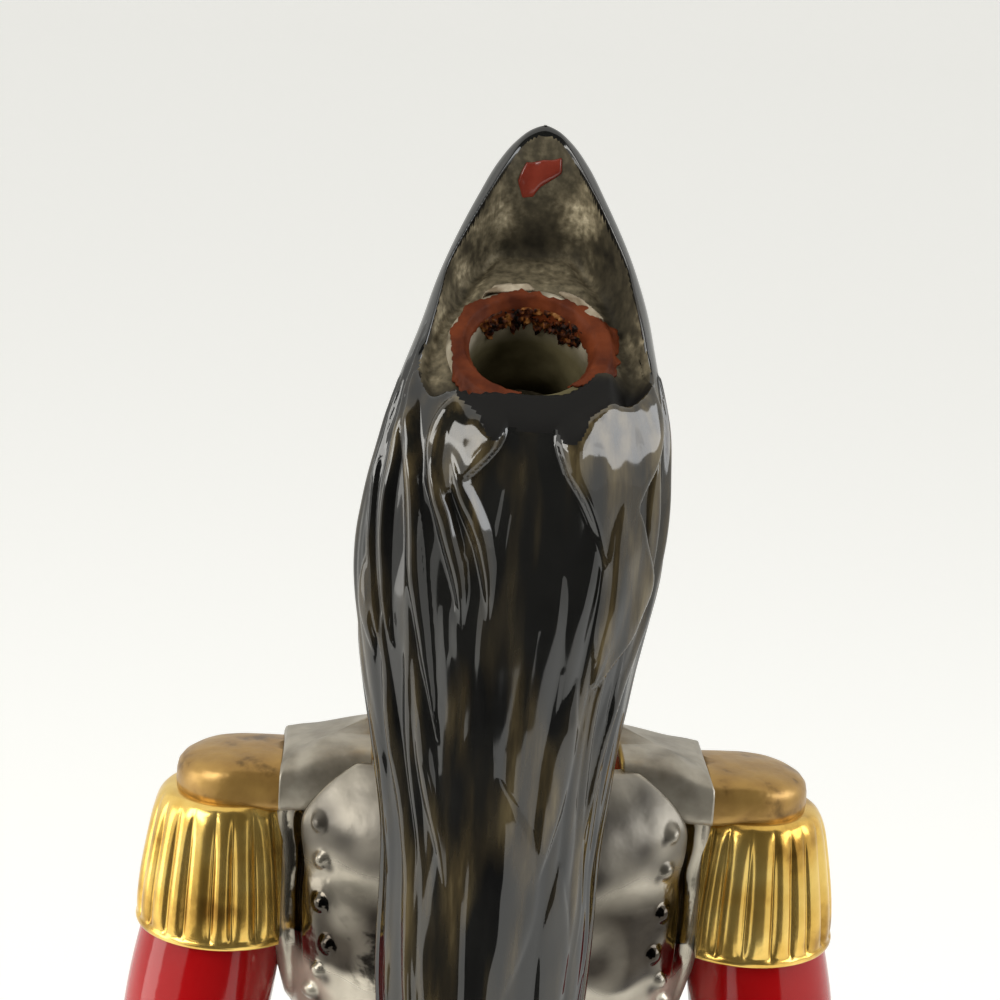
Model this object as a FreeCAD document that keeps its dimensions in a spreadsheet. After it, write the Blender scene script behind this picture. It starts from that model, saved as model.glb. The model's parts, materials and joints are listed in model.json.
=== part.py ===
import FreeCAD, Part
import Sketcher
import math
import os
import re

from FreeCAD import Placement, Rotation, Vector

# A liquor decanter in the shape of a standing cavalry trooper, slip-cast and glazed.
# The figure faces -Y and stands on the floor plane; its own left side is +X.
# The vessel is the hips, the trunk, the head and the pour neck at the back of the crest.

# Driving dimensions, in millimetres and degrees

DIMENSIONS = (
    ("base_radius", 68, "plinth, radius on the floor"),
    ("base_top_radius", 62, "plinth, radius of its top"),
    ("base_height", 26, "plinth, height"),
    ("base_wall", 16, "plinth, height of its upright side"),
    ("foot_ring", 9, "plinth, width of the ring it stands on"),
    ("foot_recess", 2, "plinth, depth of the hollow inside that ring"),
    ("leg_spread", 21, "each leg's distance from the middle"),
    ("heel_back", 17, "back of the heel behind the middle"),
    ("foot_half_width", 11.8, "boot, half the width of the foot"),
    ("foot_half_length", 30, "boot, half the length of the foot"),
    ("ankle_radius", 11, "boot, half width at the ankle"),
    ("ankle_height", 36, "boot, ankle above the plinth"),
    ("calf_radius", 16, "boot, half width at the calf"),
    ("calf_height", 74, "boot, calf above the plinth"),
    ("cuff_radius", 18.6, "boot, half width at the top"),
    ("boot_height", 122, "boot, top above the plinth"),
    ("limb_oval", 1.7, "how much deeper than wide a leg is, on each side"),
    ("knee_radius", 15.5, "breeches, radius where they leave the boot"),
    ("thigh_radius", 17.6, "breeches, radius at the top of the thigh"),
    ("thigh_spread", 18.4, "top of the thigh from the middle"),
    ("crotch_level", 197, "underside of the hip casting"),
    ("hip_level", 214, "widest level of the hips"),
    ("hip_deep", 23.5, "hips, half depth"),
    ("hip_extra", 12.5, "hips, how much half width exceeds half depth"),
    ("waist_level", 247, "waist, where hips and trunk are joined"),
    ("waist_deep", 20.5, "waist, half depth"),
    ("waist_extra", 7, "waist, extra half width"),
    ("rib_level", 268, "lower ribs"),
    ("rib_deep", 21.5, "lower ribs, half depth"),
    ("rib_extra", 7, "lower ribs, extra half width"),
    ("armpit_level", 284, "level at which the arms leave the trunk"),
    ("armpit_deep", 23.5, "trunk at the armpit, half depth"),
    ("armpit_extra", 8, "trunk at the armpit, extra half width"),
    ("chest_level", 301, "fullest level of the chest"),
    ("chest_deep", 24, "chest, half depth"),
    ("chest_extra", 10, "chest, extra half width"),
    ("shoulder_level", 314, "slope of the shoulder"),
    ("shoulder_deep", 19.5, "shoulder, half depth"),
    ("shoulder_extra", 10.5, "shoulder, extra half width"),
    ("nape_level", 323, "root of the neck"),
    ("nape_deep", 16, "root of the neck, half depth"),
    ("nape_extra", 3.5, "root of the neck, extra half width"),
    ("neck_level", 331, "level at which head and trunk are joined"),
    ("neck_radius", 12.6, "neck, radius"),
    ("neck_bore", 8.3, "neck, radius of the passage inside"),
    ("vessel_wall", 4.4, "wall of the vessel"),
    ("plate", 2.3, "cuirass, thickness of its plates"),
    ("plate_bottom", 252, "cuirass, lower edge"),
    ("plate_split", 0.6, "gap between the plates at the side, half of it"),
    ("armhole_radius", 15, "cuirass, radius of the armhole"),
    ("armhole_level", 301, "cuirass, middle of the armhole"),
    ("neckhole_radius", 20.5, "cuirass, radius of the neck opening"),
    ("strap_inner", 20.6, "shoulder strap, inner end from the middle"),
    ("strap_half_deep", 12.5, "shoulder strap, half depth from front to back"),
    ("strap_height", 9, "shoulder strap, height above the board's underside"),
    ("strap_round", 3.5, "shoulder strap, rounding of its upper edges"),
    ("belt_height", 7, "waist belt, height"),
    ("belt_thick", 1.6, "waist belt, thickness over the cloth"),
    ("buckle_width", 13, "buckle, width"),
    ("buckle_height", 9, "buckle, height"),
    ("buckle_thick", 1.5, "buckle, thickness"),
    ("skirt_flare", 8, "coat skirt, flare over the hips at its hem"),
    ("skirt_thick", 2.6, "coat skirt, thickness"),
    ("skirt_hem", 176, "coat skirt, lowest edge at the back"),
    ("skirt_lean", 29, "coat skirt, slope of the cutaway front, degrees"),
    ("collar_height", 24, "collar, height"),
    ("collar_root", 319, "collar, lower edge"),
    ("collar_low_radius", 20, "collar, radius at its foot"),
    ("collar_top_radius", 15.8, "collar, radius at its top"),
    ("collar_thick", 2.6, "collar, thickness"),
    ("arm_spread", 44.2, "shoulder joint from the middle"),
    ("arm_top_radius", 9.2, "sleeve, radius under the epaulette"),
    ("arm_radius", 12.2, "sleeve, radius of the upper arm"),
    ("elbow_radius", 11, "sleeve, radius at the elbow"),
    ("elbow_level", 262, "elbow"),
    ("elbow_out", 6, "elbow, further out than the shoulder joint"),
    ("elbow_back", 4, "elbow, behind the shoulder joint"),
    ("wrist_radius", 9.4, "sleeve, radius where the cuff begins"),
    ("cuff_level", 228, "upper edge of the glove's cuff"),
    ("cuff_flare", 3.2, "cuff, how far it stands out round the sleeve"),
    ("cuff_height", 22, "cuff, height"),
    ("cuff_low_radius", 8.6, "cuff, radius at the wrist"),
    ("hand_half_width", 6.8, "hand, half thickness"),
    ("hand_extra", 4.6, "hand, how much half its breadth exceeds half its thickness"),
    ("hand_length", 36, "hand, length of the closed fist and wrist"),
    ("board_level", 314.5, "epaulette board, underside"),
    ("board_height", 7.5, "epaulette board, height"),
    ("board_radius", 9.6, "epaulette board, radius of the round end"),
    ("board_inner", 33, "epaulette board, inner end from the middle"),
    ("board_round", 4.5, "epaulette board, rounding of the upper edge"),
    ("fringe_drop", 23.5, "epaulette fringe, length"),
    ("fringe_radius", 14.9, "epaulette fringe, radius at the hem"),
    ("fringe_strands", 22, "epaulette fringe, bullion strands round the shoulder"),
    ("fringe_flute", 0.5, "epaulette fringe, depth between the strands, half of it"),
    ("jaw_level", 349, "jaw"),
    ("jaw_half_width", 12.6, "jaw, half width"),
    ("cheek_level", 368, "cheeks"),
    ("cheek_half_width", 15.6, "cheeks, half width"),
    ("brow_level", 379, "brow"),
    ("brow_half_width", 16.2, "brow, half width"),
    ("skull_level", 394, "top of the head inside the helmet"),
    ("skull_half_width", 8.5, "top of the head, half width"),
    ("head_extra", 5.2, "how much deeper than wide the head is, on each side"),
    ("head_hollow_width", 11.8, "hollow of the head, half width"),
    ("head_hollow_deep", 16, "hollow of the head, half depth"),
    ("head_hollow_height", 19, "hollow of the head, half height"),
    ("helmet_level", 374, "helmet, lower edge"),
    ("helmet_half_width", 18.6, "helmet, half width"),
    ("helmet_half_length", 25, "helmet, half length"),
    ("helmet_height", 25.5, "helmet, height"),
    ("band_height", 7, "helmet band, height"),
    ("band_thick", 1.4, "helmet band, thickness"),
    ("peak_reach", 9, "helmet peak, reach in front of the helmet"),
    ("peak_thick", 2, "helmet peak, thickness"),
    ("peak_slope", 18, "helmet peak, slope, degrees"),
    ("comb_width", 7, "helmet comb, width"),
    ("comb_rise", 21.5, "helmet comb, top of the arch above the helmet"),
    ("comb_radius", 33, "helmet comb, radius of its arched edge"),
    ("comb_back", 4, "helmet comb, centre of that arch behind the middle"),
    ("scales_thick", 1.5, "chin scales, thickness"),
    ("scales_width", 6, "chin scales, width"),
    ("scales_lean", 32, "chin scales, slope towards the chin, degrees"),
    ("mouth_back", 24, "pour neck, centre of the rim behind the middle"),
    ("mouth_level", 396, "pour neck, level of that centre"),
    ("mouth_tilt", 35, "pour neck, tilt to the back, degrees"),
    ("mouth_bore", 9.5, "pour neck, radius of the bore for the cork"),
    ("mouth_outer", 12.6, "pour neck, outer radius"),
    ("mouth_length", 22, "pour neck, length"),
    ("mouth_lip", 0.9, "pour neck, rounding of the rim"),
    ("seat_gap", 0.1, "slip between the pour neck and the holes that seat it"),
    ("neck_ledge", 1.2, "pour neck, how far the ledge it stands on keeps back from the bore"),
    ("nest_step", 2, "nest floor below the rim"),
    ("nest_rim", 2.4, "nest, thickness of the crest beside it"),
    ("nest_wall", 5, "nest, thickness of the crest in front of it"),
    ("seal_thick", 0.6, "seal remains, thickness"),
    ("seal_sweep", 290, "seal remains on the rim, sweep, degrees"),
    ("scrap_width", 7, "seal scrap high in the nest, width"),
    ("scrap_height", 6, "seal scrap high in the nest, height"),
    ("cork_length", 20, "stopper, length of the cork"),
    ("cork_taper", 0.5, "stopper, how much narrower the cork's end is"),
    ("stopper_gap", 0.8, "stopper, clearance of its head in the nest"),
    ("stopper_inset", 23, "stopper set down on the plinth, from the plinth's edge"),
)

# The mane's level sections, from the tip of the tail to the tuft on the crest:
# each has a level, half a width, and how far behind the middle its front and back lie

MANE_SECTIONS = (
    ("mane_tip", 256, 7, 23, 31),
    ("mane_low", 268, 13, 22, 36),
    ("mane_tail", 291, 17, 20, 39),
    ("mane_fall", 318, 17.6, 16, 40.5),
    ("mane_nape", 342, 20.6, 13, 41.5),
    ("mane_bulge", 364, 23.7, 12, 42),
    ("mane_crown", 383, 22.2, 9, 40.5),
    ("mane_hood", 398, 18.3, 4, 32),
    ("mane_arch", 411, 13.6, 0.5, 18),
    ("mane_tuft", 421.5, 7.6, -1.5, 8.5),
    ("mane_apex", 427, 2.4, 0.4, 4),
)
SECTION_SIZES = ("level", "wide", "front", "back")

doc = FreeCAD.newDocument("decanter")
sheet = doc.addObject("Spreadsheet::Sheet", "Dims")
ALIASES = set()


def add_dimension(alias, value, meaning):
    """One row of the sheet: name, plain number and what it is."""
    row = len(ALIASES) + 1
    sheet.set(f"A{row}", alias)
    sheet.set(f"B{row}", str(value))
    sheet.set(f"C{row}", meaning)
    sheet.setAlias(f"B{row}", alias)
    ALIASES.add(alias)


for alias, value, meaning in DIMENSIONS:
    add_dimension(alias, value, meaning)
for section, *numbers in MANE_SECTIONS:
    for size, value in zip(SECTION_SIZES, numbers):
        add_dimension(f"{section}_{size}", value, f"mane, {section[5:]} section, {size}")
doc.recompute()


# Helpers

def formula(text):
    """An expression in which each dimension's name is looked up in the sheet."""
    def looked_up(word):
        return f"Dims.{word.group()}" if word.group() in ALIASES else word.group()

    return re.sub(r"[a-z_]+", looked_up, str(text))


def bind(thing, **sizes):
    """Bind properties of a document object to expressions of the sheet's dimensions."""
    for name, text in sizes.items():
        thing.setExpression(name.replace("__", "."), formula(text))
    return thing


def number(text):
    """What an expression of the sheet's dimensions comes to now."""
    return float(sheet.evalExpression(formula(text)))


def put(thing, x=0, y=0, z=0):
    """Bind where an object's own origin stands."""
    return bind(thing, Placement__Base__x=x, Placement__Base__y=y, Placement__Base__z=z)


def turn(thing, axis, degrees):
    """Turn an object about an axis through its own origin."""
    thing.Placement = Placement(Vector(), Rotation(Vector(*axis), 1))
    return bind(thing, Placement__Rotation__Angle=degrees)


def wide_oval(name, wide, deep, x=0, y=0, z=0):
    """A level ellipse that is wider (X) than it is deep (Y)."""
    return put(bind(doc.addObject("Part::Ellipse", name), MajorRadius=wide, MinorRadius=deep), x, y, z)


def deep_oval(name, wide, deep, x=0, y=0, z=0):
    """A level ellipse that is deeper (Y) than it is wide (X)."""
    ring = bind(doc.addObject("Part::Ellipse", name), MajorRadius=deep, MinorRadius=wide)
    ring.Placement = Placement(Vector(), Rotation(Vector(0, 0, 1), 90))
    return put(ring, x, y, z)


def circle(name, radius, x=0, y=0, z=0):
    """A level circle."""
    return put(bind(doc.addObject("Part::Circle", name), Radius=radius), x, y, z)


def loft(name, rings):
    """A solid drawn smoothly through level rings, lowest first."""
    solid = doc.addObject("Part::Loft", name)
    solid.Sections = rings
    solid.Solid = True
    return solid


def cut(name, base, *tools):
    """A solid with others taken out of it, one after another."""
    for count, tool in enumerate(tools, start=1):
        last = count == len(tools)
        piece = doc.addObject("Part::Cut", name if last else f"{name}_less_{count}")
        piece.Base = base
        piece.Tool = tool
        base = piece
    return base


def join(name, *solids):
    """Several solids as one."""
    piece = doc.addObject("Part::MultiFuse", name)
    piece.Shapes = solids
    return piece


def common(name, *solids):
    """What several solids share."""
    piece = doc.addObject("Part::MultiCommon", name)
    piece.Shapes = solids
    return piece


def box(name, length, width, height, x=0, y=0, z=0):
    """A box from its corner."""
    return put(bind(doc.addObject("Part::Box", name), Length=length, Width=width, Height=height), x, y, z)


def cylinder(name, radius, height, x=0, y=0, z=0):
    """An upright cylinder from the middle of its foot."""
    return put(bind(doc.addObject("Part::Cylinder", name), Radius=radius, Height=height), x, y, z)


def ellipsoid(name, wide, deep, tall, x=0, y=0, z=0, lowest=-90):
    """An ellipsoid about its centre; lowest 0 keeps the upper half."""
    solid = bind(doc.addObject("Part::Ellipsoid", name), Radius1=tall, Radius2=wide, Radius3=deep)
    solid.Angle1 = lowest
    return put(solid, x, y, z)


def mirrored(name, source):
    """The same piece on the figure's other side."""
    piece = doc.addObject("Part::Mirroring", name)
    piece.Source = source
    piece.Normal = (1, 0, 0)
    return piece


def outline(body, plane, corners, name="Outline"):
    """A closed sketch of straight edges on one of the body's own planes; each corner is two expressions."""
    sketch = body.newObject("Sketcher::SketchObject", name)
    sketch.AttachmentSupport = (next(f for f in body.Origin.OriginFeatures if f.Role == plane), "")
    sketch.MapMode = "FlatFace"
    points = [Vector(number(across), number(up), 0) for across, up in corners]
    count = len(points)
    for i in range(count):
        sketch.addGeometry(Part.LineSegment(points[i], points[(i + 1) % count]))
    for i in range(count):
        sketch.addConstraint(Sketcher.Constraint("Coincident", i, 2, (i + 1) % count, 1))
    for i, pair in enumerate(corners):
        for kind, axis, text, value in zip(("DistanceX", "DistanceY"), (-2, -1), pair, points[i]):
            if str(text) == "0":
                sketch.addConstraint(Sketcher.Constraint("PointOnObject", i, 1, axis))
            else:
                index = sketch.addConstraint(Sketcher.Constraint(kind, -1, 1, i, 1, value))
                sketch.setExpression(f"Constraints[{index}]", formula(text))
    return sketch


def turned_body(name, corners, sweep=360):
    """A body of revolution about its own Z axis, from a half profile of (radius, height) corners."""
    body = doc.addObject("PartDesign::Body", name)
    sketch = outline(body, "XZ_Plane", corners, f"{name}_profile")
    spin = body.newObject("PartDesign::Revolution", f"{name}_turn")
    spin.Profile = sketch
    spin.ReferenceAxis = (sketch, ["V_Axis"])
    bind(spin, Angle=sweep)
    return body


def in_mouth_frame(thing, along=0):
    """Stand an object on the pour neck's axis, so many millimetres outwards from the rim."""
    turn(thing, (-1, 0, 0), "mouth_tilt")
    return put(thing, 0, f"mouth_back + ({along}) * sin(mouth_tilt)",
               f"mouth_level + ({along}) * cos(mouth_tilt)")


NODES = []


def node(thing, label):
    """Keep an object as a sub-part under its own name."""
    thing.Label = label
    NODES.append(thing)
    return thing


# Plinth

plinth = turned_body("plinth_body", [
    ("base_radius - foot_ring", 0),
    ("base_radius", 0),
    ("base_radius", "base_wall"),
    ("base_top_radius", "base_height"),
    (0, "base_height"),
    (0, "foot_recess"),
    ("base_radius - foot_ring", "foot_recess"),
])
node(plinth, "plinth")

# Boots: a foot and a flared leg, cast as one

FOOT_RINGS = (
    ("foot_half_width", "foot_half_length", "heel_back - foot_half_length", "0"),
    ("foot_half_width", "foot_half_length", "heel_back - foot_half_length", "0.15 * ankle_height"),
    ("0.94 * foot_half_width", "0.84 * foot_half_length", "heel_back - 0.88 * foot_half_length",
     "0.4 * ankle_height"),
    ("ankle_radius", "ankle_radius + 4 * limb_oval", "heel_back - 0.66 * foot_half_length",
     "0.7 * ankle_height"),
    ("ankle_radius", "ankle_radius + limb_oval", "heel_back - 0.5 * foot_half_length", "ankle_height"),
)
LEG_RINGS = (
    ("ankle_radius", "0.5 * ankle_height"),
    ("ankle_radius", "ankle_height"),
    ("calf_radius", "calf_height"),
    ("0.62 * calf_radius + 0.34 * cuff_radius", "0.5 * calf_height + 0.5 * boot_height"),
    ("0.4 * calf_radius + 0.57 * cuff_radius", "0.2 * calf_height + 0.8 * boot_height"),
    ("cuff_radius", "boot_height"),
)
foot = loft("foot_loft", [
    deep_oval(f"foot_ring_{i}", wide, deep, "leg_spread", middle, f"base_height + {height}")
    for i, (wide, deep, middle, height) in enumerate(FOOT_RINGS)])
leg = loft("leg_loft", [
    deep_oval(f"leg_ring_{i}", radius, f"{radius} + limb_oval", "leg_spread",
              "heel_back - 0.5 * foot_half_length", f"base_height + {height}")
    for i, (radius, height) in enumerate(LEG_RINGS)])
left_boot = join("left_boot_join", foot, leg)
node(left_boot, "left_boot")
node(mirrored("right_boot_mirror", left_boot), "right_boot")

# Vessel: the outside and the hollow of hips and trunk are lofts through the same levels

TRUNK_LEVELS = ("waist", "rib", "armpit", "chest", "shoulder", "nape")


def trunk_rings(name, offset, levels):
    """Level ovals round the trunk, each so much larger than the body itself."""
    return [wide_oval(f"{name}_{level}", f"{level}_deep + {level}_extra + ({offset})",
                      f"{level}_deep + ({offset})", z=f"{level}_level") for level in levels]


trunk_solid = loft("trunk_solid", trunk_rings("trunk", 0, TRUNK_LEVELS)
                   + [circle("trunk_neck", "neck_radius", z="neck_level")])
hip_solid = loft("hip_solid", [
    wide_oval("hip_under", "0.95 * hip_deep + hip_extra", "0.95 * hip_deep", z="crotch_level"),
    wide_oval("hip_full", "hip_deep + hip_extra", "hip_deep", z="hip_level"),
    wide_oval("hip_waist", "waist_deep + waist_extra", "waist_deep", z="waist_level")])
trunk_hollow = loft("trunk_hollow", trunk_rings("trunk_inner", "-vessel_wall", TRUNK_LEVELS)
                    + [circle("trunk_inner_neck", "neck_bore", z="neck_level")])
hip_hollow = loft("hip_hollow", [
    wide_oval("hip_inner_under", "0.9 * hip_deep + hip_extra - vessel_wall", "0.9 * hip_deep - vessel_wall",
              z="crotch_level + vessel_wall"),
    wide_oval("hip_inner_full", "hip_deep + hip_extra - vessel_wall", "hip_deep - vessel_wall", z="hip_level"),
    wide_oval("hip_inner_waist", "waist_deep + waist_extra - vessel_wall", "waist_deep - vessel_wall",
              z="waist_level")])
node(cut("hip_casting_cut", hip_solid, hip_hollow), "hip_casting")
node(cut("torso_casting_cut", trunk_solid, trunk_hollow), "torso_casting")

# Breeches: a thigh on each boot, seated under the hips

left_thigh = loft("thigh_loft", [
    circle("thigh_knee", "knee_radius", "leg_spread", "heel_back - 0.5 * foot_half_length",
           "base_height + boot_height"),
    circle("thigh_middle", "0.4 * knee_radius + 0.6 * thigh_radius", "0.5 * leg_spread + 0.5 * thigh_spread",
           "0.5 * heel_back - 0.25 * foot_half_length", "0.5 * (base_height + boot_height + crotch_level)"),
    circle("thigh_top", "thigh_radius", "thigh_spread", 0, "crotch_level")])
node(left_thigh, "left_thigh")
node(mirrored("right_thigh_mirror", left_thigh), "right_thigh")

# Cuirass: a plate of even thickness over the trunk, opened for arms and neck, split at the sides

cuirass_solid = loft("cuirass_solid", trunk_rings("cuirass", "plate", TRUNK_LEVELS))
armholes = bind(doc.addObject("Part::Cylinder", "armholes"), Radius="armhole_radius", Height="8 * chest_deep")
turn(armholes, (0, 1, 0), 90)
put(armholes, "-4 * chest_deep", 0, "armhole_level")
neckhole = cylinder("neckhole", "neckhole_radius", "4 * board_height", z="shoulder_level")
below_plate = box("below_plate", "8 * chest_deep", "8 * chest_deep",
                  "plate_bottom - rib_level + 4 * chest_deep",
                  "-4 * chest_deep", "-4 * chest_deep", "rib_level - 4 * chest_deep")
cuirass_shell = cut("cuirass_shell", cuirass_solid, trunk_solid, armholes, neckhole, below_plate)
in_front = box("in_front", "8 * chest_deep", "4 * chest_deep", "8 * chest_deep",
               "-4 * chest_deep", "-4 * chest_deep - plate_split", "rib_level - 4 * chest_deep")
behind = box("behind", "8 * chest_deep", "4 * chest_deep", "8 * chest_deep",
             "-4 * chest_deep", "plate_split", "rib_level - 4 * chest_deep")
node(common("breastplate_half", cuirass_shell, in_front), "breastplate")
node(common("backplate_half", cuirass_shell, behind), "backplate")

# Collar: a standing ring about the joint of head and trunk

collar_ring = turned_body("collar_body", [
    ("collar_low_radius - collar_thick", 0),
    ("collar_low_radius", 0),
    ("collar_top_radius", "collar_height"),
    ("collar_top_radius - collar_thick", "collar_height"),
])
put(collar_ring, z="collar_root")
node(cut("collar_cut", collar_ring, trunk_solid, cuirass_shell), "collar")

# Shoulder straps: padded slabs over the cuirass that carry the line of the epaulette boards to the collar

strap_body = doc.addObject("PartDesign::Body", "strap_body")
strap_pad = strap_body.newObject("PartDesign::Pad", "strap_pad")
strap_pad.Profile = outline(strap_body, "XY_Plane", [
    ("strap_inner", "-strap_half_deep"),
    ("board_inner", "-strap_half_deep"),
    ("board_inner", "strap_half_deep"),
    ("strap_inner", "strap_half_deep"),
], "strap_plan")
bind(strap_pad, Length="strap_height")
doc.recompute()
strap_round = strap_body.newObject("PartDesign::Fillet", "strap_round")
strap_round.Base = (strap_pad, [
    f"Edge{i}" for i, edge in enumerate(strap_pad.Shape.Edges, start=1)
    if edge.BoundBox.ZMin > number("strap_height") - 0.01 and edge.BoundBox.XLength > edge.BoundBox.YLength])
bind(strap_round, Radius="strap_round")
put(strap_body, z="board_level")
left_strap = cut("left_strap_cut", strap_body, cuirass_solid, collar_ring)
node(left_strap, "left_shoulder_strap")
node(mirrored("right_strap_mirror", left_strap), "right_shoulder_strap")

# Coat skirt: flares from the waist, cut away in front

skirt_rings = [
    ("waist_deep + waist_extra + plate", "waist_deep + plate", "waist_level - 0.5 * belt_height"),
    ("hip_deep + hip_extra + 0.55 * skirt_flare", "hip_deep + 0.55 * skirt_flare", "hip_level"),
    ("hip_deep + hip_extra + skirt_flare", "hip_deep + skirt_flare", "skirt_hem"),
]
skirt_outer = loft("skirt_outer", [wide_oval(f"skirt_ring_{i}", wide, deep, z=level)
                                   for i, (wide, deep, level) in reversed(list(enumerate(skirt_rings)))])
skirt_inner = loft("skirt_inner", [
    wide_oval(f"skirt_inner_ring_{i}", f"{wide} - skirt_thick", f"{deep} - skirt_thick", z=level)
    for i, (wide, deep, level) in reversed(list(enumerate(skirt_rings)))])
cutaway = box("cutaway", "8 * hip_deep", "4 * hip_deep", "6 * hip_deep")
turn(cutaway, (1, 0, 0), "skirt_lean")
put(cutaway, "-4 * hip_deep",
    "-waist_deep - 4 * hip_deep * cos(skirt_lean) + 6 * hip_deep * sin(skirt_lean)",
    "waist_level - belt_height - 4 * hip_deep * sin(skirt_lean) - 6 * hip_deep * cos(skirt_lean)")
node(cut("coat_skirt_cut", skirt_outer, skirt_inner, hip_solid, cutaway), "coat_skirt")

# Waist belt and its plain buckle

belt_solid = doc.addObject("Part::Extrusion", "belt_solid")
belt_solid.Base = wide_oval("belt_ring", "waist_deep + waist_extra + plate + belt_thick",
                            "waist_deep + plate + belt_thick", z="waist_level - 0.5 * belt_height")
belt_solid.Dir = (0, 0, 1)
belt_solid.DirMode = "Custom"
belt_solid.Solid = True
bind(belt_solid, LengthFwd="belt_height")
node(cut("waist_belt_cut", belt_solid, hip_solid, trunk_solid, cuirass_shell), "waist_belt")
buckle = box("buckle_block", "buckle_width", "buckle_thick + belt_thick + plate", "buckle_height",
             "-0.5 * buckle_width", "-waist_deep - plate - belt_thick - buckle_thick",
             "waist_level - 0.5 * buckle_height")
node(cut("buckle_cut", buckle, belt_solid, cuirass_shell, skirt_outer, hip_solid, trunk_solid), "belt_buckle")

# Arms: sleeve, cuff and hand are stacked on one leaning line

sleeve_loft = loft("sleeve_loft", [
    circle("sleeve_wrist", "wrist_radius", "arm_spread + elbow_out + 1", "0.25 * elbow_back - 2", "cuff_level"),
    circle("sleeve_elbow", "elbow_radius", "arm_spread + elbow_out", "elbow_back", "elbow_level"),
    circle("sleeve_arm", "arm_radius", "arm_spread + 0.45 * elbow_out", "0.3 * elbow_back", "armpit_level + 2"),
    circle("sleeve_shoulder", "0.6 * arm_top_radius + 0.4 * arm_radius", "arm_spread + 0.1 * elbow_out", 0,
           "0.4 * armpit_level + 0.6 * board_level"),
    circle("sleeve_top", "arm_top_radius", "arm_spread", 0, "board_level")])
left_sleeve = cut("left_sleeve_cut", sleeve_loft, trunk_solid, cuirass_shell)
node(left_sleeve, "left_sleeve")
node(mirrored("right_sleeve_mirror", left_sleeve), "right_sleeve")

HAND_X = "arm_spread + elbow_out + 1"
left_cuff = loft("left_cuff_loft", [
    circle("cuff_wrist", "cuff_low_radius", HAND_X, "-3", "cuff_level - cuff_height"),
    circle("cuff_top", "wrist_radius + cuff_flare", HAND_X, "0.25 * elbow_back - 2", "cuff_level")])
node(left_cuff, "left_cuff")
node(mirrored("right_cuff_mirror", left_cuff), "right_cuff")

HAND_RINGS = ((0.62, 0.3, 0.98), (0.9, 0.75, 0.86), (1, 1, 0.5), (1, 0.85, 0.2), (0.9, 0.1, 0.0))
fist = loft("fist_loft", [
    deep_oval(f"hand_ring_{i}", f"{wide} * hand_half_width", f"{wide} * hand_half_width + {extra} * hand_extra",
              HAND_X, "-4", f"cuff_level - cuff_height - {drop} * hand_length")
    for i, (wide, extra, drop) in enumerate(HAND_RINGS)])
thumb = ellipsoid("thumb", "0.45 * hand_half_width", "0.5 * hand_half_width", "0.3 * hand_length",
                  HAND_X, "-4 - hand_half_width - 0.55 * hand_extra",
                  "cuff_level - cuff_height - 0.5 * hand_length")
left_hand = join("left_hand_join", fist, thumb)
node(left_hand, "left_hand")
node(mirrored("right_hand_mirror", left_hand), "right_hand")

# Epaulettes: a padded board with a round end, and a bell of bullion strands under it

board_body = doc.addObject("PartDesign::Body", "board_body")
board_sketch = board_body.newObject("Sketcher::SketchObject", "board_plan")
board_sketch.AttachmentSupport = (next(f for f in board_body.Origin.OriginFeatures if f.Role == "XY_Plane"), "")
board_sketch.MapMode = "FlatFace"
inner, centre, radius = number("board_inner"), number("arm_spread"), number("board_radius")
board_sketch.addGeometry(Part.LineSegment(Vector(inner, radius, 0), Vector(inner, -radius, 0)))
board_sketch.addGeometry(Part.LineSegment(Vector(inner, -radius, 0), Vector(centre, -radius, 0)))
board_sketch.addGeometry(Part.ArcOfCircle(Part.Circle(Vector(centre, 0, 0), Vector(0, 0, 1), radius),
                                          -math.pi / 2, math.pi / 2))
board_sketch.addGeometry(Part.LineSegment(Vector(centre, radius, 0), Vector(inner, radius, 0)))
for first, second in ((0, 1), (3, 0)):
    board_sketch.addConstraint(Sketcher.Constraint("Coincident", first, 2, second, 1))
board_sketch.addConstraint(Sketcher.Constraint("Tangent", 1, 2, 2, 1))
board_sketch.addConstraint(Sketcher.Constraint("Tangent", 2, 2, 3, 1))
board_sketch.addConstraint(Sketcher.Constraint("Vertical", 0))
board_sketch.addConstraint(Sketcher.Constraint("Horizontal", 1))
board_sketch.addConstraint(Sketcher.Constraint("PointOnObject", 2, 3, -1))
for constraint, size in (
        (Sketcher.Constraint("DistanceX", -1, 1, 0, 1, inner), "board_inner"),
        (Sketcher.Constraint("DistanceX", -1, 1, 2, 3, centre), "arm_spread"),
        (Sketcher.Constraint("Radius", 2, radius), "board_radius")):
    index = board_sketch.addConstraint(constraint)
    board_sketch.setExpression(f"Constraints[{index}]", formula(size))
board_pad = board_body.newObject("PartDesign::Pad", "board_pad")
board_pad.Profile = board_sketch
bind(board_pad, Length="board_height")
doc.recompute()
board_round = board_body.newObject("PartDesign::Fillet", "board_round")
board_round.Base = (board_pad, [
    f"Edge{i}" for i, edge in enumerate(board_pad.Shape.Edges, start=1)
    if edge.BoundBox.ZMin > number("board_height") - 0.01
    and edge.BoundBox.XMax > number("board_inner") + 0.01])
bind(board_round, Radius="board_round")
put(board_body, z="board_level")
left_board = cut("left_board_cut", board_body, cuirass_solid)
node(left_board, "left_epaulette_board")
node(mirrored("right_board_mirror", left_board), "right_epaulette_board")


def fluted_ring(radius, level):
    """A closed ring round the shoulder joint, one outward arc for each bullion strand."""
    strands = int(round(number("fringe_strands")))

    def at(reach, step):
        angle = 2 * math.pi * step / strands
        return Vector(number("arm_spread") + reach * math.cos(angle), reach * math.sin(angle), level)

    valley = radius - number("fringe_flute")
    crest = radius + number("fringe_flute")
    return Part.Wire([Part.Arc(at(valley, i), at(crest, i + 0.5), at(valley, i + 1)).toShape()
                      for i in range(strands)])


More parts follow.
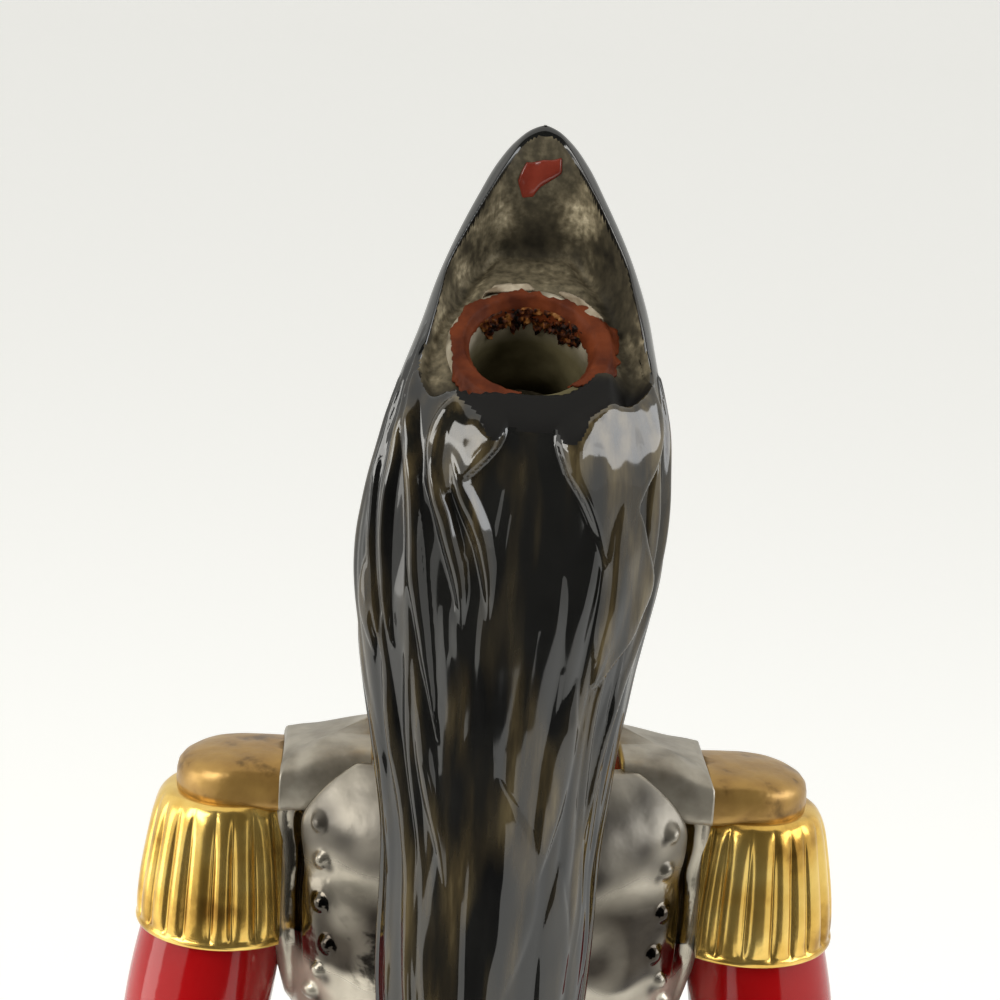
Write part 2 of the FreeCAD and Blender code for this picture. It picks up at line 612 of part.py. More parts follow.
FRINGE_RINGS = ((1, 1), (0.985, 0.62), (0.89, 0.3), (0.7, 0))
fringe_bell = doc.addObject("Part::Feature", "fringe_bell")
fringe_bell.Shape = Part.makeLoft([
    fluted_ring(share * number("fringe_radius"), number("board_level") - drop * number("fringe_drop"))
    for share, drop in FRINGE_RINGS], True)
left_fringe = cut("left_fringe_cut", fringe_bell, sleeve_loft, cuirass_solid)
node(left_fringe, "left_epaulette_fringe")
node(mirrored("right_fringe_mirror", left_fringe), "right_epaulette_fringe")

# Pour neck: a tube on the tilted axis, and the holes that seat it

pour_neck = turned_body("pour_neck_body", [
    ("mouth_bore", "-mouth_length"),
    ("mouth_outer", "-mouth_length"),
    ("mouth_outer", "-mouth_lip"),
    ("mouth_outer - mouth_lip", 0),
    ("mouth_bore + 0.4 * mouth_lip", 0),
    ("mouth_bore", "-0.4 * mouth_lip"),
])
node(in_mouth_frame(pour_neck), "pour_neck")
seat_hole = cylinder("seat_hole", "mouth_outer + seat_gap", "mouth_length + 2 * mouth_outer")
in_mouth_frame(seat_hole, "-mouth_length")
pour_hole = cylinder("pour_hole", "mouth_bore + neck_ledge", "2 * mouth_length")
in_mouth_frame(pour_hole, "-1.5 * mouth_length")

# Head: neck, jaw, cheeks and skull in one casting, hollow from the neck up to the pour neck


def head_rings(name, offset):
    """Level ovals round the head, each so much larger than the head itself."""
    rings = (
        ("0.72 * jaw_half_width", "0.72 * jaw_half_width + head_extra", "-1.05 * head_extra", "jaw_level"),
        ("jaw_half_width", "jaw_half_width + head_extra", "-0.75 * head_extra",
         "0.8 * jaw_level + 0.2 * cheek_level"),
        ("0.4 * jaw_half_width + 0.6 * cheek_half_width",
         "0.4 * jaw_half_width + 0.6 * cheek_half_width + head_extra", "-0.4 * head_extra",
         "0.45 * jaw_level + 0.55 * cheek_level"),
        ("cheek_half_width", "cheek_half_width + head_extra", "-0.1 * head_extra", "cheek_level"),
        ("brow_half_width", "brow_half_width + head_extra", "0.1 * head_extra", "brow_level"),
        ("0.45 * skull_half_width + 0.6 * brow_half_width",
         "0.45 * skull_half_width + 0.6 * brow_half_width + 0.8 * head_extra", "0.2 * head_extra",
         "0.45 * brow_level + 0.55 * skull_level"),
        ("skull_half_width", "skull_half_width + 0.6 * head_extra", "0.2 * head_extra", "skull_level"),
    )
    return [deep_oval(f"{name}_{i}", f"{wide} + ({offset})", f"{deep} + ({offset})", 0, middle, level)
            for i, (wide, deep, middle, level) in enumerate(rings)]


head_loft = loft("head_loft", head_rings("head_ring", 0))
nose = loft("nose", [
    deep_oval("nose_tip", "0.2 * cheek_half_width", "0.3 * cheek_half_width", 0,
              "-cheek_half_width - head_extra", "0.3 * jaw_level + 0.7 * cheek_level"),
    deep_oval("nose_root", "0.1 * cheek_half_width", "0.14 * cheek_half_width", 0,
              "-cheek_half_width - head_extra", "0.6 * cheek_level + 0.4 * brow_level")])
neck = cylinder("neck", "neck_radius", "0.6 * cheek_level + 0.4 * jaw_level - neck_level", z="neck_level")
head_solid = join("head_solid", head_loft, neck, nose)
head_hollow = join("head_hollow",
                   ellipsoid("skull_hollow", "head_hollow_width", "head_hollow_deep", "head_hollow_height",
                             z="0.75 * cheek_level + 0.25 * brow_level"),
                   cylinder("neck_passage", "neck_bore", "cheek_level - neck_level", z="neck_level"))
node(cut("head_casting_cut", head_solid, head_hollow, seat_hole, pour_hole), "head_casting")

# Helmet: skull, band, peak, comb and chin scales

helmet_solid = ellipsoid("helmet_solid", "helmet_half_width", "helmet_half_length", "helmet_height",
                         z="helmet_level", lowest=0)
node(cut("helmet_skull_cut", helmet_solid, head_solid, seat_hole), "helmet_skull")

band_solid = doc.addObject("Part::Extrusion", "band_solid")
band_solid.Base = deep_oval("band_ring", "helmet_half_width + band_thick", "helmet_half_length + band_thick",
                            z="helmet_level")
band_solid.Dir = (0, 0, 1)
band_solid.DirMode = "Custom"
band_solid.Solid = True
bind(band_solid, LengthFwd="band_height")

mane_solid = loft("mane_solid", [
    wide_oval(f"{section}_ring", f"{section}_wide", f"0.5 * ({section}_back - {section}_front)", 0,
              f"0.5 * ({section}_back + {section}_front)", f"{section}_level")
    for section, *sizes in MANE_SECTIONS])
node(cut("helmet_band_cut", band_solid, helmet_solid, head_solid, mane_solid), "helmet_band")

peak_slab = doc.addObject("Part::Extrusion", "peak_slab")
peak_slab.Base = deep_oval("peak_ring", "0.92 * helmet_half_width", "helmet_half_length + peak_reach")
peak_slab.Dir = (0, 0, 1)
peak_slab.DirMode = "Custom"
peak_slab.Solid = True
bind(peak_slab, LengthFwd="peak_thick")
turn(peak_slab, (1, 0, 0), "peak_slope")
put(peak_slab, 0, 0, "helmet_level + 0.42 * helmet_half_length * sin(peak_slope)")
peak_front = box("peak_front", "4 * helmet_half_width", "4 * helmet_half_width", "4 * helmet_half_width",
                 "-2 * helmet_half_width", "-4 * helmet_half_width - 0.5 * helmet_half_length",
                 "helmet_level - 2 * helmet_half_width")
peak_half = common("peak_half", peak_slab, peak_front)
node(cut("helmet_peak_cut", peak_half, helmet_solid, head_solid, band_solid), "helmet_peak")

comb_disc = bind(doc.addObject("Part::Cylinder", "comb_disc"), Radius="comb_radius", Height="comb_width")
turn(comb_disc, (0, 1, 0), 90)
put(comb_disc, "-0.5 * comb_width", "comb_back", "helmet_level + helmet_height + comb_rise - comb_radius")
above_band = box("above_band", "8 * comb_radius", "4 * comb_radius + mane_arch_front", "4 * comb_radius",
                 "-4 * comb_radius", "-4 * comb_radius", "helmet_level + band_height")
comb_arch = common("comb_arch", comb_disc, above_band)
node(cut("helmet_comb_cut", comb_arch, helmet_solid, head_solid, mane_solid), "helmet_comb")

scales_shell = cut("scales_shell", loft("scales_solid", head_rings("scales_ring", "scales_thick")), head_solid)
scales_slab = box("scales_slab", "8 * cheek_half_width", "scales_width", "8 * cheek_half_width")
turn(scales_slab, (-1, 0, 0), "scales_lean")
put(scales_slab, "-4 * cheek_half_width",
    "2 - 4 * cheek_half_width * sin(scales_lean)", "helmet_level - 4 * cheek_half_width * cos(scales_lean)")
above_jaw = box("above_jaw", "8 * cheek_half_width", "8 * cheek_half_width", "helmet_level - jaw_level + 3.5",
                "-4 * cheek_half_width", "-4 * cheek_half_width", "jaw_level - 3.5")
scales_band = common("scales_band", scales_shell, scales_slab, above_jaw)
node(cut("chin_scales_cut", scales_band, helmet_solid, band_solid), "chin_scales")

# Mane and crest: one solid, seated on helmet, collar and cuirass, scooped out round the pour neck

nest_sections = ("mane_crown", "mane_hood", "mane_arch", "mane_tuft")


def nest_rings(name, gap):
    """Level ovals inside the crest, open to the back, each smaller than the nest by a gap."""
    return [deep_oval(f"{name}_{section}", f"{section}_wide - nest_rim - ({gap})",
                      f"0.5 * ({section}_back - {section}_front - nest_wall - ({gap})) + 0.8 * mouth_outer",
                      0, f"0.5 * ({section}_back + {section}_front + nest_wall + ({gap})) + 0.8 * mouth_outer",
                      f"{section}_level - ({gap})") for section in nest_sections]


above_floor = box("above_floor", "8 * mouth_outer", "8 * mouth_outer", "8 * mouth_outer")
in_mouth_frame(above_floor, "-nest_step")
bind(above_floor, Placement__Base__x="-4 * mouth_outer",
     Placement__Base__y="mouth_back - nest_step * sin(mouth_tilt) - 4 * mouth_outer * cos(mouth_tilt)",
     Placement__Base__z="mouth_level - nest_step * cos(mouth_tilt) + 4 * mouth_outer * sin(mouth_tilt)")
nest = common("nest", loft("nest_loft", nest_rings("nest", 0)), above_floor)
right_strap_body = mirrored("right_strap_body", strap_body)
node(cut("mane_cut", mane_solid, seat_hole, helmet_solid, head_solid, trunk_solid, collar_ring, cuirass_solid,
         strap_body, right_strap_body, nest), "mane")

# Remains of the seal: a broken ring on the rim, and a scrap on the wall of the nest

rim_seal = turned_body("rim_seal_body", [
    ("mouth_bore + 0.8 * mouth_lip", 0),
    ("mouth_outer - mouth_lip", 0),
    ("mouth_outer - mouth_lip", "seal_thick"),
    ("mouth_bore + 0.8 * mouth_lip", "seal_thick"),
], "seal_sweep")
node(in_mouth_frame(rim_seal), "rim_seal_remains")

scrap_skin = cut("scrap_skin", loft("scrap_outer", nest_rings("scrap_outer", 0)),
                 loft("scrap_inner", nest_rings("scrap_inner", "seal_thick")))
scrap_window = box("scrap_window", "scrap_width", "nest_wall + mane_arch_back", "scrap_height",
                   "-0.5 * scrap_width", 0, "mane_tuft_level - scrap_height - 2.5")
node(common("seal_scrap_common", scrap_skin, scrap_window, mane_solid), "seal_scrap")

# Stopper: the crest's missing back over a cork, set down on the plinth behind the heels

head_block = common("stopper_head_block", mane_solid,
                    loft("stopper_nest", nest_rings("stopper_nest", "stopper_gap")))
stopper_floor = in_mouth_frame(box("stopper_floor", "8 * mouth_outer", "8 * mouth_outer", "8 * mouth_outer"))
bind(stopper_floor, Placement__Base__x="-4 * mouth_outer",
     Placement__Base__y="mouth_back + stopper_gap * sin(mouth_tilt) - 4 * mouth_outer * cos(mouth_tilt)",
     Placement__Base__z="mouth_level + stopper_gap * cos(mouth_tilt) + 4 * mouth_outer * sin(mouth_tilt)")
head_in_nest = common("stopper_head_in_nest", head_block, stopper_floor)


STOPPER_BACK = "base_radius - stopper_inset"


def set_down(thing, source, lift):
    """A copy of a shape from the pour neck's frame, stood upright on the plinth, turned a quarter."""
    upright = Placement(Vector(0, number(STOPPER_BACK), number("base_height") + number(lift)),
                        Rotation(Vector(0, 0, 1), 90) * Rotation(Vector(1, 0, 0), number("mouth_tilt")))
    origin = Vector(0, number("mouth_back"), number("mouth_level"))
    thing.Shape = source.Shape.copy()
    thing.Placement = upright * Placement(origin * -1, Rotation())
    return thing


cork = turned_body("cork_body", [
    (0, 0),
    ("mouth_bore - cork_taper", 0),
    ("mouth_bore - 0.1", "cork_length"),
    (0, "cork_length"),
])
put(cork, 0, STOPPER_BACK, "base_height")
node(cork, "stopper_cork")
doc.recompute()
stopper_head = set_down(doc.addObject("Part::Feature", "stopper_head_block_down"), head_in_nest,
                        "cork_length - stopper_gap")
node(stopper_head, "stopper_head")

# Recompute, check and write

doc.recompute()
broken = [thing.Label for thing in doc.Objects if "Invalid" in thing.State or "Error" in thing.State]
if broken:
    raise RuntimeError(f"not built: {broken}")
for piece in NODES:
    if piece.Shape.isNull() or not piece.Shape.isValid():
        raise RuntimeError(f"bad shape: {piece.Label}")
os.makedirs("parts", exist_ok=True)
for piece in NODES:
    piece.Shape.exportStep(f"parts/{piece.Label}.step")
    size = piece.Shape.optimalBoundingBox()
    print(f"{piece.Label:24s} {len(piece.Shape.Solids)} solid  {piece.Shape.Volume / 1000:7.2f} cm3  "
          f"x {size.XMin:.1f}..{size.XMax:.1f}  y {size.YMin:.1f}..{size.YMax:.1f}  "
          f"z {size.ZMin:.1f}..{size.ZMax:.1f}")
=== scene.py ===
# %% [markdown]
# The CAD model is loaded as a fixed frame. It gives every piece its place and size,
# and the rest of the script only dresses it, in metres, in the same frame.

# %% Load the frame
import itertools
import json

import bmesh
import bpy
import numpy as np
from mathutils import Matrix, Vector


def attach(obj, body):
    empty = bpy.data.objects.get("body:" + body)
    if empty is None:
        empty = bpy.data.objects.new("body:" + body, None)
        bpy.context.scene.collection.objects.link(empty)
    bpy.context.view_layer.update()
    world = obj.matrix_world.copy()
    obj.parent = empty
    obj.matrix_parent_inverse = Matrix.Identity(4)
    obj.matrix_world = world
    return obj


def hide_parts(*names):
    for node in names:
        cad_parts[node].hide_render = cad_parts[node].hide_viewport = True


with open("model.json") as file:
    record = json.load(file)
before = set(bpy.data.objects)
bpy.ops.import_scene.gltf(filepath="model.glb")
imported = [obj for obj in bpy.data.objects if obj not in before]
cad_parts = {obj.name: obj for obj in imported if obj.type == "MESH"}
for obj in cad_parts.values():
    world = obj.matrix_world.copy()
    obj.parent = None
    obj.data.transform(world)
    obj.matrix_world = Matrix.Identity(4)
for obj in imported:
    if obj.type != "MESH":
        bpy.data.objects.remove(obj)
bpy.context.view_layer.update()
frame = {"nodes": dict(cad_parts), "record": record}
MM = 0.001

# %% [markdown]
# A slip-cast figure has no straight lines and no two equal strands. Six small tools give
# that look: a step with soft ends, a smooth line through a few stations, a soft random
# field, a soft hill, and the upper and lower envelopes of overlapping heights. They could be
# Blender modifiers or textures, but whole arrays show exactly where the clay goes.

# %% Shaping tools
def soft_step(low, high, value):
    """0 below low, 1 above high, and 3u2 - 2u3 between them."""
    u = np.clip((value - low) / (high - low), 0, 1)
    return u * u * (3 - 2 * u)


def smooth_line(at, stations, values):
    """A cubic through each pair of stations, whose slope at a station is that of its neighbours."""
    stations = np.asarray(stations, float)
    values = np.asarray(values, float)
    slopes = np.gradient(values, stations)
    spot = np.clip(np.searchsorted(stations, at) - 1, 0, len(stations) - 2)
    gap = stations[spot + 1] - stations[spot]
    u = np.clip((at - stations[spot]) / gap, 0, 1)
    start = (1 + 2 * u) * (1 - u) ** 2 * values[spot] + u * (1 - u) ** 2 * gap * slopes[spot]
    end = u * u * (3 - 2 * u) * values[spot + 1] + u * u * (u - 1) * gap * slopes[spot + 1]
    return start + end


FIELD_SIZE = 4096
FIELD_STRIDES = (73, 179, 283)


def soft_field(points, grain, seed):
    """Random numbers from -1 to 1 at the corners of cubes of side grain, blended smoothly between them."""
    corners = np.random.default_rng(seed).uniform(-1, 1, FIELD_SIZE)
    place = points / grain
    cell = np.floor(place).astype(int)
    part = soft_step(0, 1, place - cell)
    total = np.zeros(points.shape[:-1])
    for step in itertools.product((0, 1), repeat=3):
        share = np.prod(np.where(step, part, 1 - part), axis=-1)
        key = ((cell + step) * FIELD_STRIDES).sum(axis=-1) % FIELD_SIZE
        total += share * corners[key]
    return total


def hill(across, up, width, height):
    """A soft hill: e to the minus (across / width)2 - (up / height)2."""
    return np.exp(-((across / width) ** 2) - (up / height) ** 2)


def upper_envelope(layers, sharpness):
    """The largest of several heights, its creases rounded: the log of the sum of their exponentials."""
    return np.logaddexp.reduce(np.asarray(layers) * sharpness, axis=0) / sharpness


def lower_envelope(first, second, rounding):
    """The smaller of two heights, with the crease between them rounded off in the same way."""
    return -rounding * np.logaddexp(-first / rounding, -second / rounding)


print("shaping tools ready")

# %% [markdown]
# Every new piece is a grid of points. It closes round like a barrel, with its ends shut by fans
# of triangles, or is bent round to meet like a ring, or is a sheet with an upper and an under
# side. Two functions turn grids into faces, and one puts them in a mesh, turns the faces
# outwards by the sign of the volume, hangs the piece on the empty of the body that carries it,
# and hides the CAD nodes it stands for.

# %% From grids to pieces
materials = {}


def skin(points, loop=False):
    """Quads between neighbours of a grid whose rows close round; fans shut the first and last row."""
    rows, columns, _ = points.shape
    index = np.arange(rows * columns).reshape(rows, columns)
    chain = np.vstack([index, index[:1]]) if loop else index
    across = np.roll(chain, -1, axis=1)
    faces = np.stack([chain[:-1], across[:-1], across[1:], chain[1:]], axis=-1).reshape(-1, 4).tolist()
    vertices = points.reshape(-1, 3)
    if not loop:
        hubs = points[[0, -1]].mean(axis=1)
        first = np.stack([across[0], index[0], np.full(columns, len(vertices))], axis=-1)
        last = np.stack([index[-1], across[-1], np.full(columns, len(vertices) + 1)], axis=-1)
        vertices = np.vstack([vertices, hubs])
        faces += first.tolist() + last.tolist()
    return vertices, faces


def shell(upper, under):
    """A closed skin between two open grids of one shape: both faces, and a strip of quads along the edge."""
    rows, columns, _ = upper.shape
    top = np.arange(rows * columns).reshape(rows, columns)
    low = top + rows * columns
    edge = np.concatenate([top[0, :-1], top[:-1, -1], top[-1, :0:-1], top[:0:-1, 0]])
    ahead = np.roll(edge, -1)
    quads = (
        (top[:-1, :-1], top[:-1, 1:], top[1:, 1:], top[1:, :-1]),
        (low[:-1, :-1], low[1:, :-1], low[1:, 1:], low[:-1, 1:]),
        (ahead, edge, edge + rows * columns, ahead + rows * columns),
    )
    faces = [np.stack(corners, axis=-1).reshape(-1, 4).tolist() for corners in quads]
    return np.vstack([upper.reshape(-1, 3), under.reshape(-1, 3)]), sum(faces, [])


def gather(skins):
    """Several skins as one: their points in a row, and each one's faces counted on from those before."""
    starts = np.cumsum([0] + [len(vertices) for vertices, _ in skins])
    faces = [[corner + start for corner in face] for start, (_, own) in zip(starts, skins) for face in own]
    return np.vstack([vertices for vertices, _ in skins]), faces


def take_second_finish(mesh, finish, share):
    """A face takes the second finish where all its corners have a share above one half."""
    mesh.materials.append(materials[finish])
    corners = np.zeros(len(mesh.loops), np.int32)
    mesh.loops.foreach_get("vertex_index", corners)
    starts = np.zeros(len(mesh.polygons), np.int32)
    mesh.polygons.foreach_get("loop_start", starts)
    least = np.minimum.reduceat(np.resize(share, len(mesh.vertices))[corners], starts)
    mesh.polygons.foreach_set("material_index", (least > 0.5).astype(np.int32))


def make_piece(name, vertices, faces, finish, nodes=(), body="figure", slot=None, soiled=None, **paints):
    """One smooth mesh from points in millimetres, with named paint values from 0 to 1 at each point."""
    mesh = bpy.data.meshes.new(name)
    mesh.from_pydata((vertices * MM).tolist(), [], faces)
    solid = bmesh.new()
    solid.from_mesh(mesh)
    if solid.calc_volume(signed=True) < 0:
        bmesh.ops.reverse_faces(solid, faces=solid.faces)
    solid.to_mesh(mesh)
    solid.free()
    mesh.polygons.foreach_set("use_smooth", np.ones(len(mesh.polygons), bool))
    for paint, values in paints.items():
        layer = mesh.attributes.new(paint, "FLOAT", "POINT")
        layer.data.foreach_set("value", np.resize(values, len(vertices)).astype(np.float32))
    mesh.materials.append(materials[finish])
    if soiled is not None:
        take_second_finish(mesh, "soiled_glaze", soiled)
    piece = bpy.data.objects.new(name, mesh)
    bpy.context.scene.collection.objects.link(piece)
    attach(piece, body)
    if nodes:
        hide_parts(*nodes)
    triangles = sum(len(face) - 2 for face in faces)
    print(f"{name}: {len(vertices)} points, {triangles} triangles")


def mirrored(vertices):
    """The same points on the figure's other side."""
    return vertices * (-1, 1, 1)


# %% [markdown]
# All finishes are glazes and lustres on one body of clay. A glaze is a Principled shader
# whose colour wanders between a few stops of a noise, read in Object coordinates, so it stays
# on the piece. Where a colour has to follow the shape, as painted shade does in a groove, the piece's
# points carry a paint value for it, and the material mixes two colours by that value.

# %% Finishes
NOISE_DETAIL = 4.0


def start_finish(name, roughness, metallic=0.0, reflection=1.5):
    """A new material with its constants set on the shader's own sockets."""
    material = bpy.data.materials.new(name)
    material.use_nodes = True
    shader = material.node_tree.nodes["Principled BSDF"]
    shader.inputs["Roughness"].default_value = roughness
    shader.inputs["Metallic"].default_value = metallic
    shader.inputs["IOR"].default_value = reflection
    materials[name] = material
    return material.node_tree, shader


def colour_ramp(tree, value, stops):
    """Colours chosen by a value, through stops of (value, colour)."""
    ramp = tree.nodes.new("ShaderNodeValToRGB")
    while len(ramp.color_ramp.elements) < len(stops):
        ramp.color_ramp.elements.new(0.5)
    for element, (position, colour) in zip(ramp.color_ramp.elements, stops):
        element.position = position
        element.color = (*colour, 1)
    tree.links.new(value, ramp.inputs["Fac"])
    return ramp.outputs["Color"]


def noise_value(tree, scale, stretch=(1, 1, 1)):
    """A noise in Object coordinates, stretched along the axes."""
    place = tree.nodes.new("ShaderNodeTexCoord")
    mapping = tree.nodes.new("ShaderNodeMapping")
    mapping.inputs["Scale"].default_value = stretch
    noise = tree.nodes.new("ShaderNodeTexNoise")
    noise.inputs["Scale"].default_value = scale
    noise.inputs["Detail"].default_value = NOISE_DETAIL
    tree.links.new(place.outputs["Object"], mapping.inputs["Vector"])
    tree.links.new(mapping.outputs["Vector"], noise.inputs["Vector"])
    return noise.outputs["Fac"]


def uneven(tree, shader, height, distance, strength=0.3):
    """A slight unevenness of the surface, from a height that a texture gives."""
    bump = tree.nodes.new("ShaderNodeBump")
    bump.inputs["Strength"].default_value = strength
    bump.inputs["Distance"].default_value = distance
    tree.links.new(height, bump.inputs["Height"])
    tree.links.new(bump.outputs["Normal"], shader.inputs["Normal"])


def paint_value(tree, name):
    """One of the piece's own paint values."""
    paint = tree.nodes.new("ShaderNodeAttribute")
    paint.attribute_name = name
    return paint.outputs["Fac"]


def between(tree, value, low, high, source=(0, 1)):
    """A value from the source's range, carried over to the range from low to high."""
    change = tree.nodes.new("ShaderNodeMapRange")
    for end, number in zip(("From Min", "From Max", "To Min", "To Max"), (*source, low, high)):
        change.inputs[end].default_value = number
    tree.links.new(value, change.inputs["Value"])
    return change.outputs["Result"]


def painted(tree, name, under, over):
    """Two colours mixed by one of the piece's own paint values."""
    mix = tree.nodes.new("ShaderNodeMix")
    mix.data_type = "RGBA"
    tree.links.new(paint_value(tree, name), mix.inputs["Factor"])
    tree.links.new(under, mix.inputs["A"])
    tree.links.new(over, mix.inputs["B"])
    return mix.outputs["Result"]


def mottled_finish(name, roughness, scale, stops, layers=(), metallic=0.0, bump=0.0, reflection=1.5):
    """A colour that wanders between the stops, with further such colours mixed in by paint values."""
    tree, shader = start_finish(name, roughness, metallic, reflection)
    height = noise_value(tree, scale)
    colour = colour_ramp(tree, height, stops)
    for paint, layer_scale, layer_stops, *stretch in layers:
        over = colour_ramp(tree, noise_value(tree, layer_scale, *stretch), layer_stops)
        colour = painted(tree, paint, colour, over)
    tree.links.new(colour, shader.inputs["Base Color"])
    if bump:
        uneven(tree, shader, height, bump)
    return tree, shader


mottled_finish("white_glaze", 0.12, 40, [(0.3, (0.74, 0.72, 0.67)), (0.7, (0.84, 0.82, 0.78))])
mottled_finish("red_glaze", 0.1, 30, [(0.3, (0.28, 0.002, 0.003)), (0.7, (0.42, 0.006, 0.008))])
mottled_finish("flesh_glaze", 0.3, 45, [(0.3, (0.68, 0.42, 0.3)), (0.7, (0.76, 0.5, 0.38))])
mottled_finish(
    "worn_platinum", 0.36, 160, [(0.3, (0.2, 0.175, 0.135)), (0.65, (0.4, 0.365, 0.3))],
    metallic=0.5, bump=0.0008
)
mottled_finish(
    "gold_lustre", 0.21, 110,
    [(0.28, (0.28, 0.14, 0.022)), (0.45, (0.72, 0.45, 0.1)), (0.7, (0.92, 0.66, 0.2))],
    metallic=0.85, bump=0.0005
)
mottled_finish(
    "worn_gold", 0.32, 200,
    [(0.3, (0.13, 0.07, 0.016)), (0.42, (0.34, 0.195, 0.052)), (0.7, (0.45, 0.27, 0.073))],
    metallic=0.5, bump=0.0008
)
mottled_finish("seal_wax", 0.14, 150, [(0.3, (0.11, 0.013, 0.007)), (0.65, (0.21, 0.035, 0.02))], bump=0.0004)
mottled_finish("cork", 0.85, 420, [(0.3, (0.1, 0.035, 0.012)), (0.6, (0.42, 0.22, 0.08))], bump=0.0008)
print("finishes:", sorted(materials))

# %% [markdown]
# The black glaze is thick and nearly black in the hollows and thins to olive brown over the
# strands: the mane carries a paint value for it, thin.

# %% Black glaze
THIN_GLAZE_STOPS = (
    (0.35, (0.012, 0.011, 0.008)), (0.52, (0.05, 0.037, 0.018)), (0.68, (0.12, 0.092, 0.046)),
)
mottled_finish(
    "black_glaze", 0.07, 60, [(0.3, (0.004, 0.004, 0.004)), (0.7, (0.012, 0.012, 0.011))],
    [("thin", 420, THIN_GLAZE_STOPS, (1, 1, 0.12))],
    reflection=1.62
)
print("black glaze ready")

# %% [markdown]
# In the nest, where nobody wipes, matte dirt covers the glaze. It is a second finish on the same
# piece. A paint value says how pale the dirt is, and is lowered in the hollow under the crest as painted
# shade; a fine noise breaks that up into specks.

# %% Dirt in the nest
DIRT_STOPS = (
    (0.0, (0.005, 0.0045, 0.004)), (0.3, (0.06, 0.05, 0.031)), (0.55, (0.17, 0.142, 0.09)),
    (0.78, (0.35, 0.3, 0.2)), (1.0, (0.6, 0.52, 0.37)),
)
soil_tree, soil_shader = start_finish("soiled_glaze", 0.6, reflection=1.25)
speck = between(soil_tree, noise_value(soil_tree, 900), 0.65, 1.25, source=(0.3, 0.7))
broken = soil_tree.nodes.new("ShaderNodeMath")
broken.operation = "MULTIPLY"
# The paint value is the dirt's paleness, with painted shade in the hollow under the crest.
soil_tree.links.new(paint_value(soil_tree, "dirt"), broken.inputs[0])
soil_tree.links.new(speck, broken.inputs[1])
dirt_colour = colour_ramp(soil_tree, broken.outputs["Value"], DIRT_STOPS)
soil_tree.links.new(dirt_colour, soil_shader.inputs["Base Color"])
print("dirt ready")

# %% [markdown]
# The platinum lustre of the cuirass is bright. Painted shade darkens its groove and one side of each
# rivet, a painted dark reflection lies in the hollow of the back, painted shade lies under the straps,
# and under the straps the lustre is worn. The plates carry one paint value for the painted shade and
# reflection, and one for the wear.

# %% Platinum
# The second colour is painted shade and a painted dark reflection, put where the plates' paint value says.
platinum_tree, platinum_shader = mottled_finish(
    "platinum_lustre", 0.14, 90, [(0.3, (0.34, 0.31, 0.25)), (0.65, (0.58, 0.53, 0.44))],
    [("grime", 200, [(0.3, (0.012, 0.009, 0.008)), (0.7, (0.035, 0.028, 0.022))])],
    metallic=1.0, bump=0.0012
)
wear = paint_value(platinum_tree, "worn")
for socket, bright, worn in (("Roughness", 0.14, 0.36), ("Metallic", 1.0, 0.5)):
    platinum_tree.links.new(between(platinum_tree, wear, bright, worn), platinum_shader.inputs[socket])
print("platinum ready")

# %% [markdown]
# The neck is bare clay, pale at the rim, darker further down the bore with painted shade, and darker on the
# rim below the mouth. One paint value carries both.

# %% Bare clay
# The second colour is painted shade deep in the bore, and a darker tone on the rim below the mouth.
mottled_finish(
    "bare_ceramic", 0.75, 160, [(0.3, (0.16, 0.135, 0.09)), (0.58, (0.44, 0.39, 0.3))],
    [("stain", 120, [(0.3, (0.045, 0.038, 0.016)), (0.65, (0.15, 0.128, 0.066))])],
    bump=0.0006, reflection=1.2
)
print("bare clay ready")

# %% [markdown]
# The face is painted over the flesh glaze: white eyes, dark brows, lashes, irises and hair, and
# red lips. Each colour has its own paint value on the head.

# %% Painted face
mottled_finish(
    "face_glaze", 0.28, 40, [(0.3, (0.62, 0.36, 0.26)), (0.7, (0.7, 0.43, 0.32))],
    [
        ("white", 40, [(0.3, (0.74, 0.72, 0.68)), (0.7, (0.8, 0.78, 0.74))]),
        ("lip", 40, [(0.3, (0.5, 0.16, 0.13)), (0.7, (0.56, 0.2, 0.16))]),
        ("dark", 300, [(0.3, (0.018, 0.012, 0.008)), (0.7, (0.04, 0.026, 0.017))]),
    ]
)
print("painted face ready")

# %% [markdown]
# The seal is red on top, pale where only its paper is left, and brown where crumbs of cork stick
# to it. Each part of the piece carries its own paint value, so one material serves all three.

# %% Seal
CRUMB_STOPS = (
    (0.42, (0.006, 0.003, 0.002)), (0.52, (0.06, 0.015, 0.005)), (0.6, (0.17, 0.06, 0.012)),
    (0.72, (0.3, 0.15, 0.05)),
)
mottled_finish(
    "seal_paper", 0.55, 240, [(0.32, (0.06, 0.012, 0.004)), (0.62, (0.135, 0.03, 0.009))],
    [("paper", 300, [(0.35, (0.17, 0.13, 0.085)), (0.62, (0.42, 0.36, 0.27))]), ("crumb", 620, CRUMB_STOPS)],
    bump=0.0003, reflection=1.2
)
print("seal ready")

# %% [markdown]
# The mane is the piece that takes the most skill: a horsehair crest that swells over the back
# of the helmet, falls to a tail between the shoulders, and is scooped out at the back into a
# nest for the pour neck. It is made as one closed skin. Its plain form is a stack of ovals,
# the same ones as in the CAD model, taken from the crest's point down to the tip of the tail,
# and the tail hangs in a slight S.

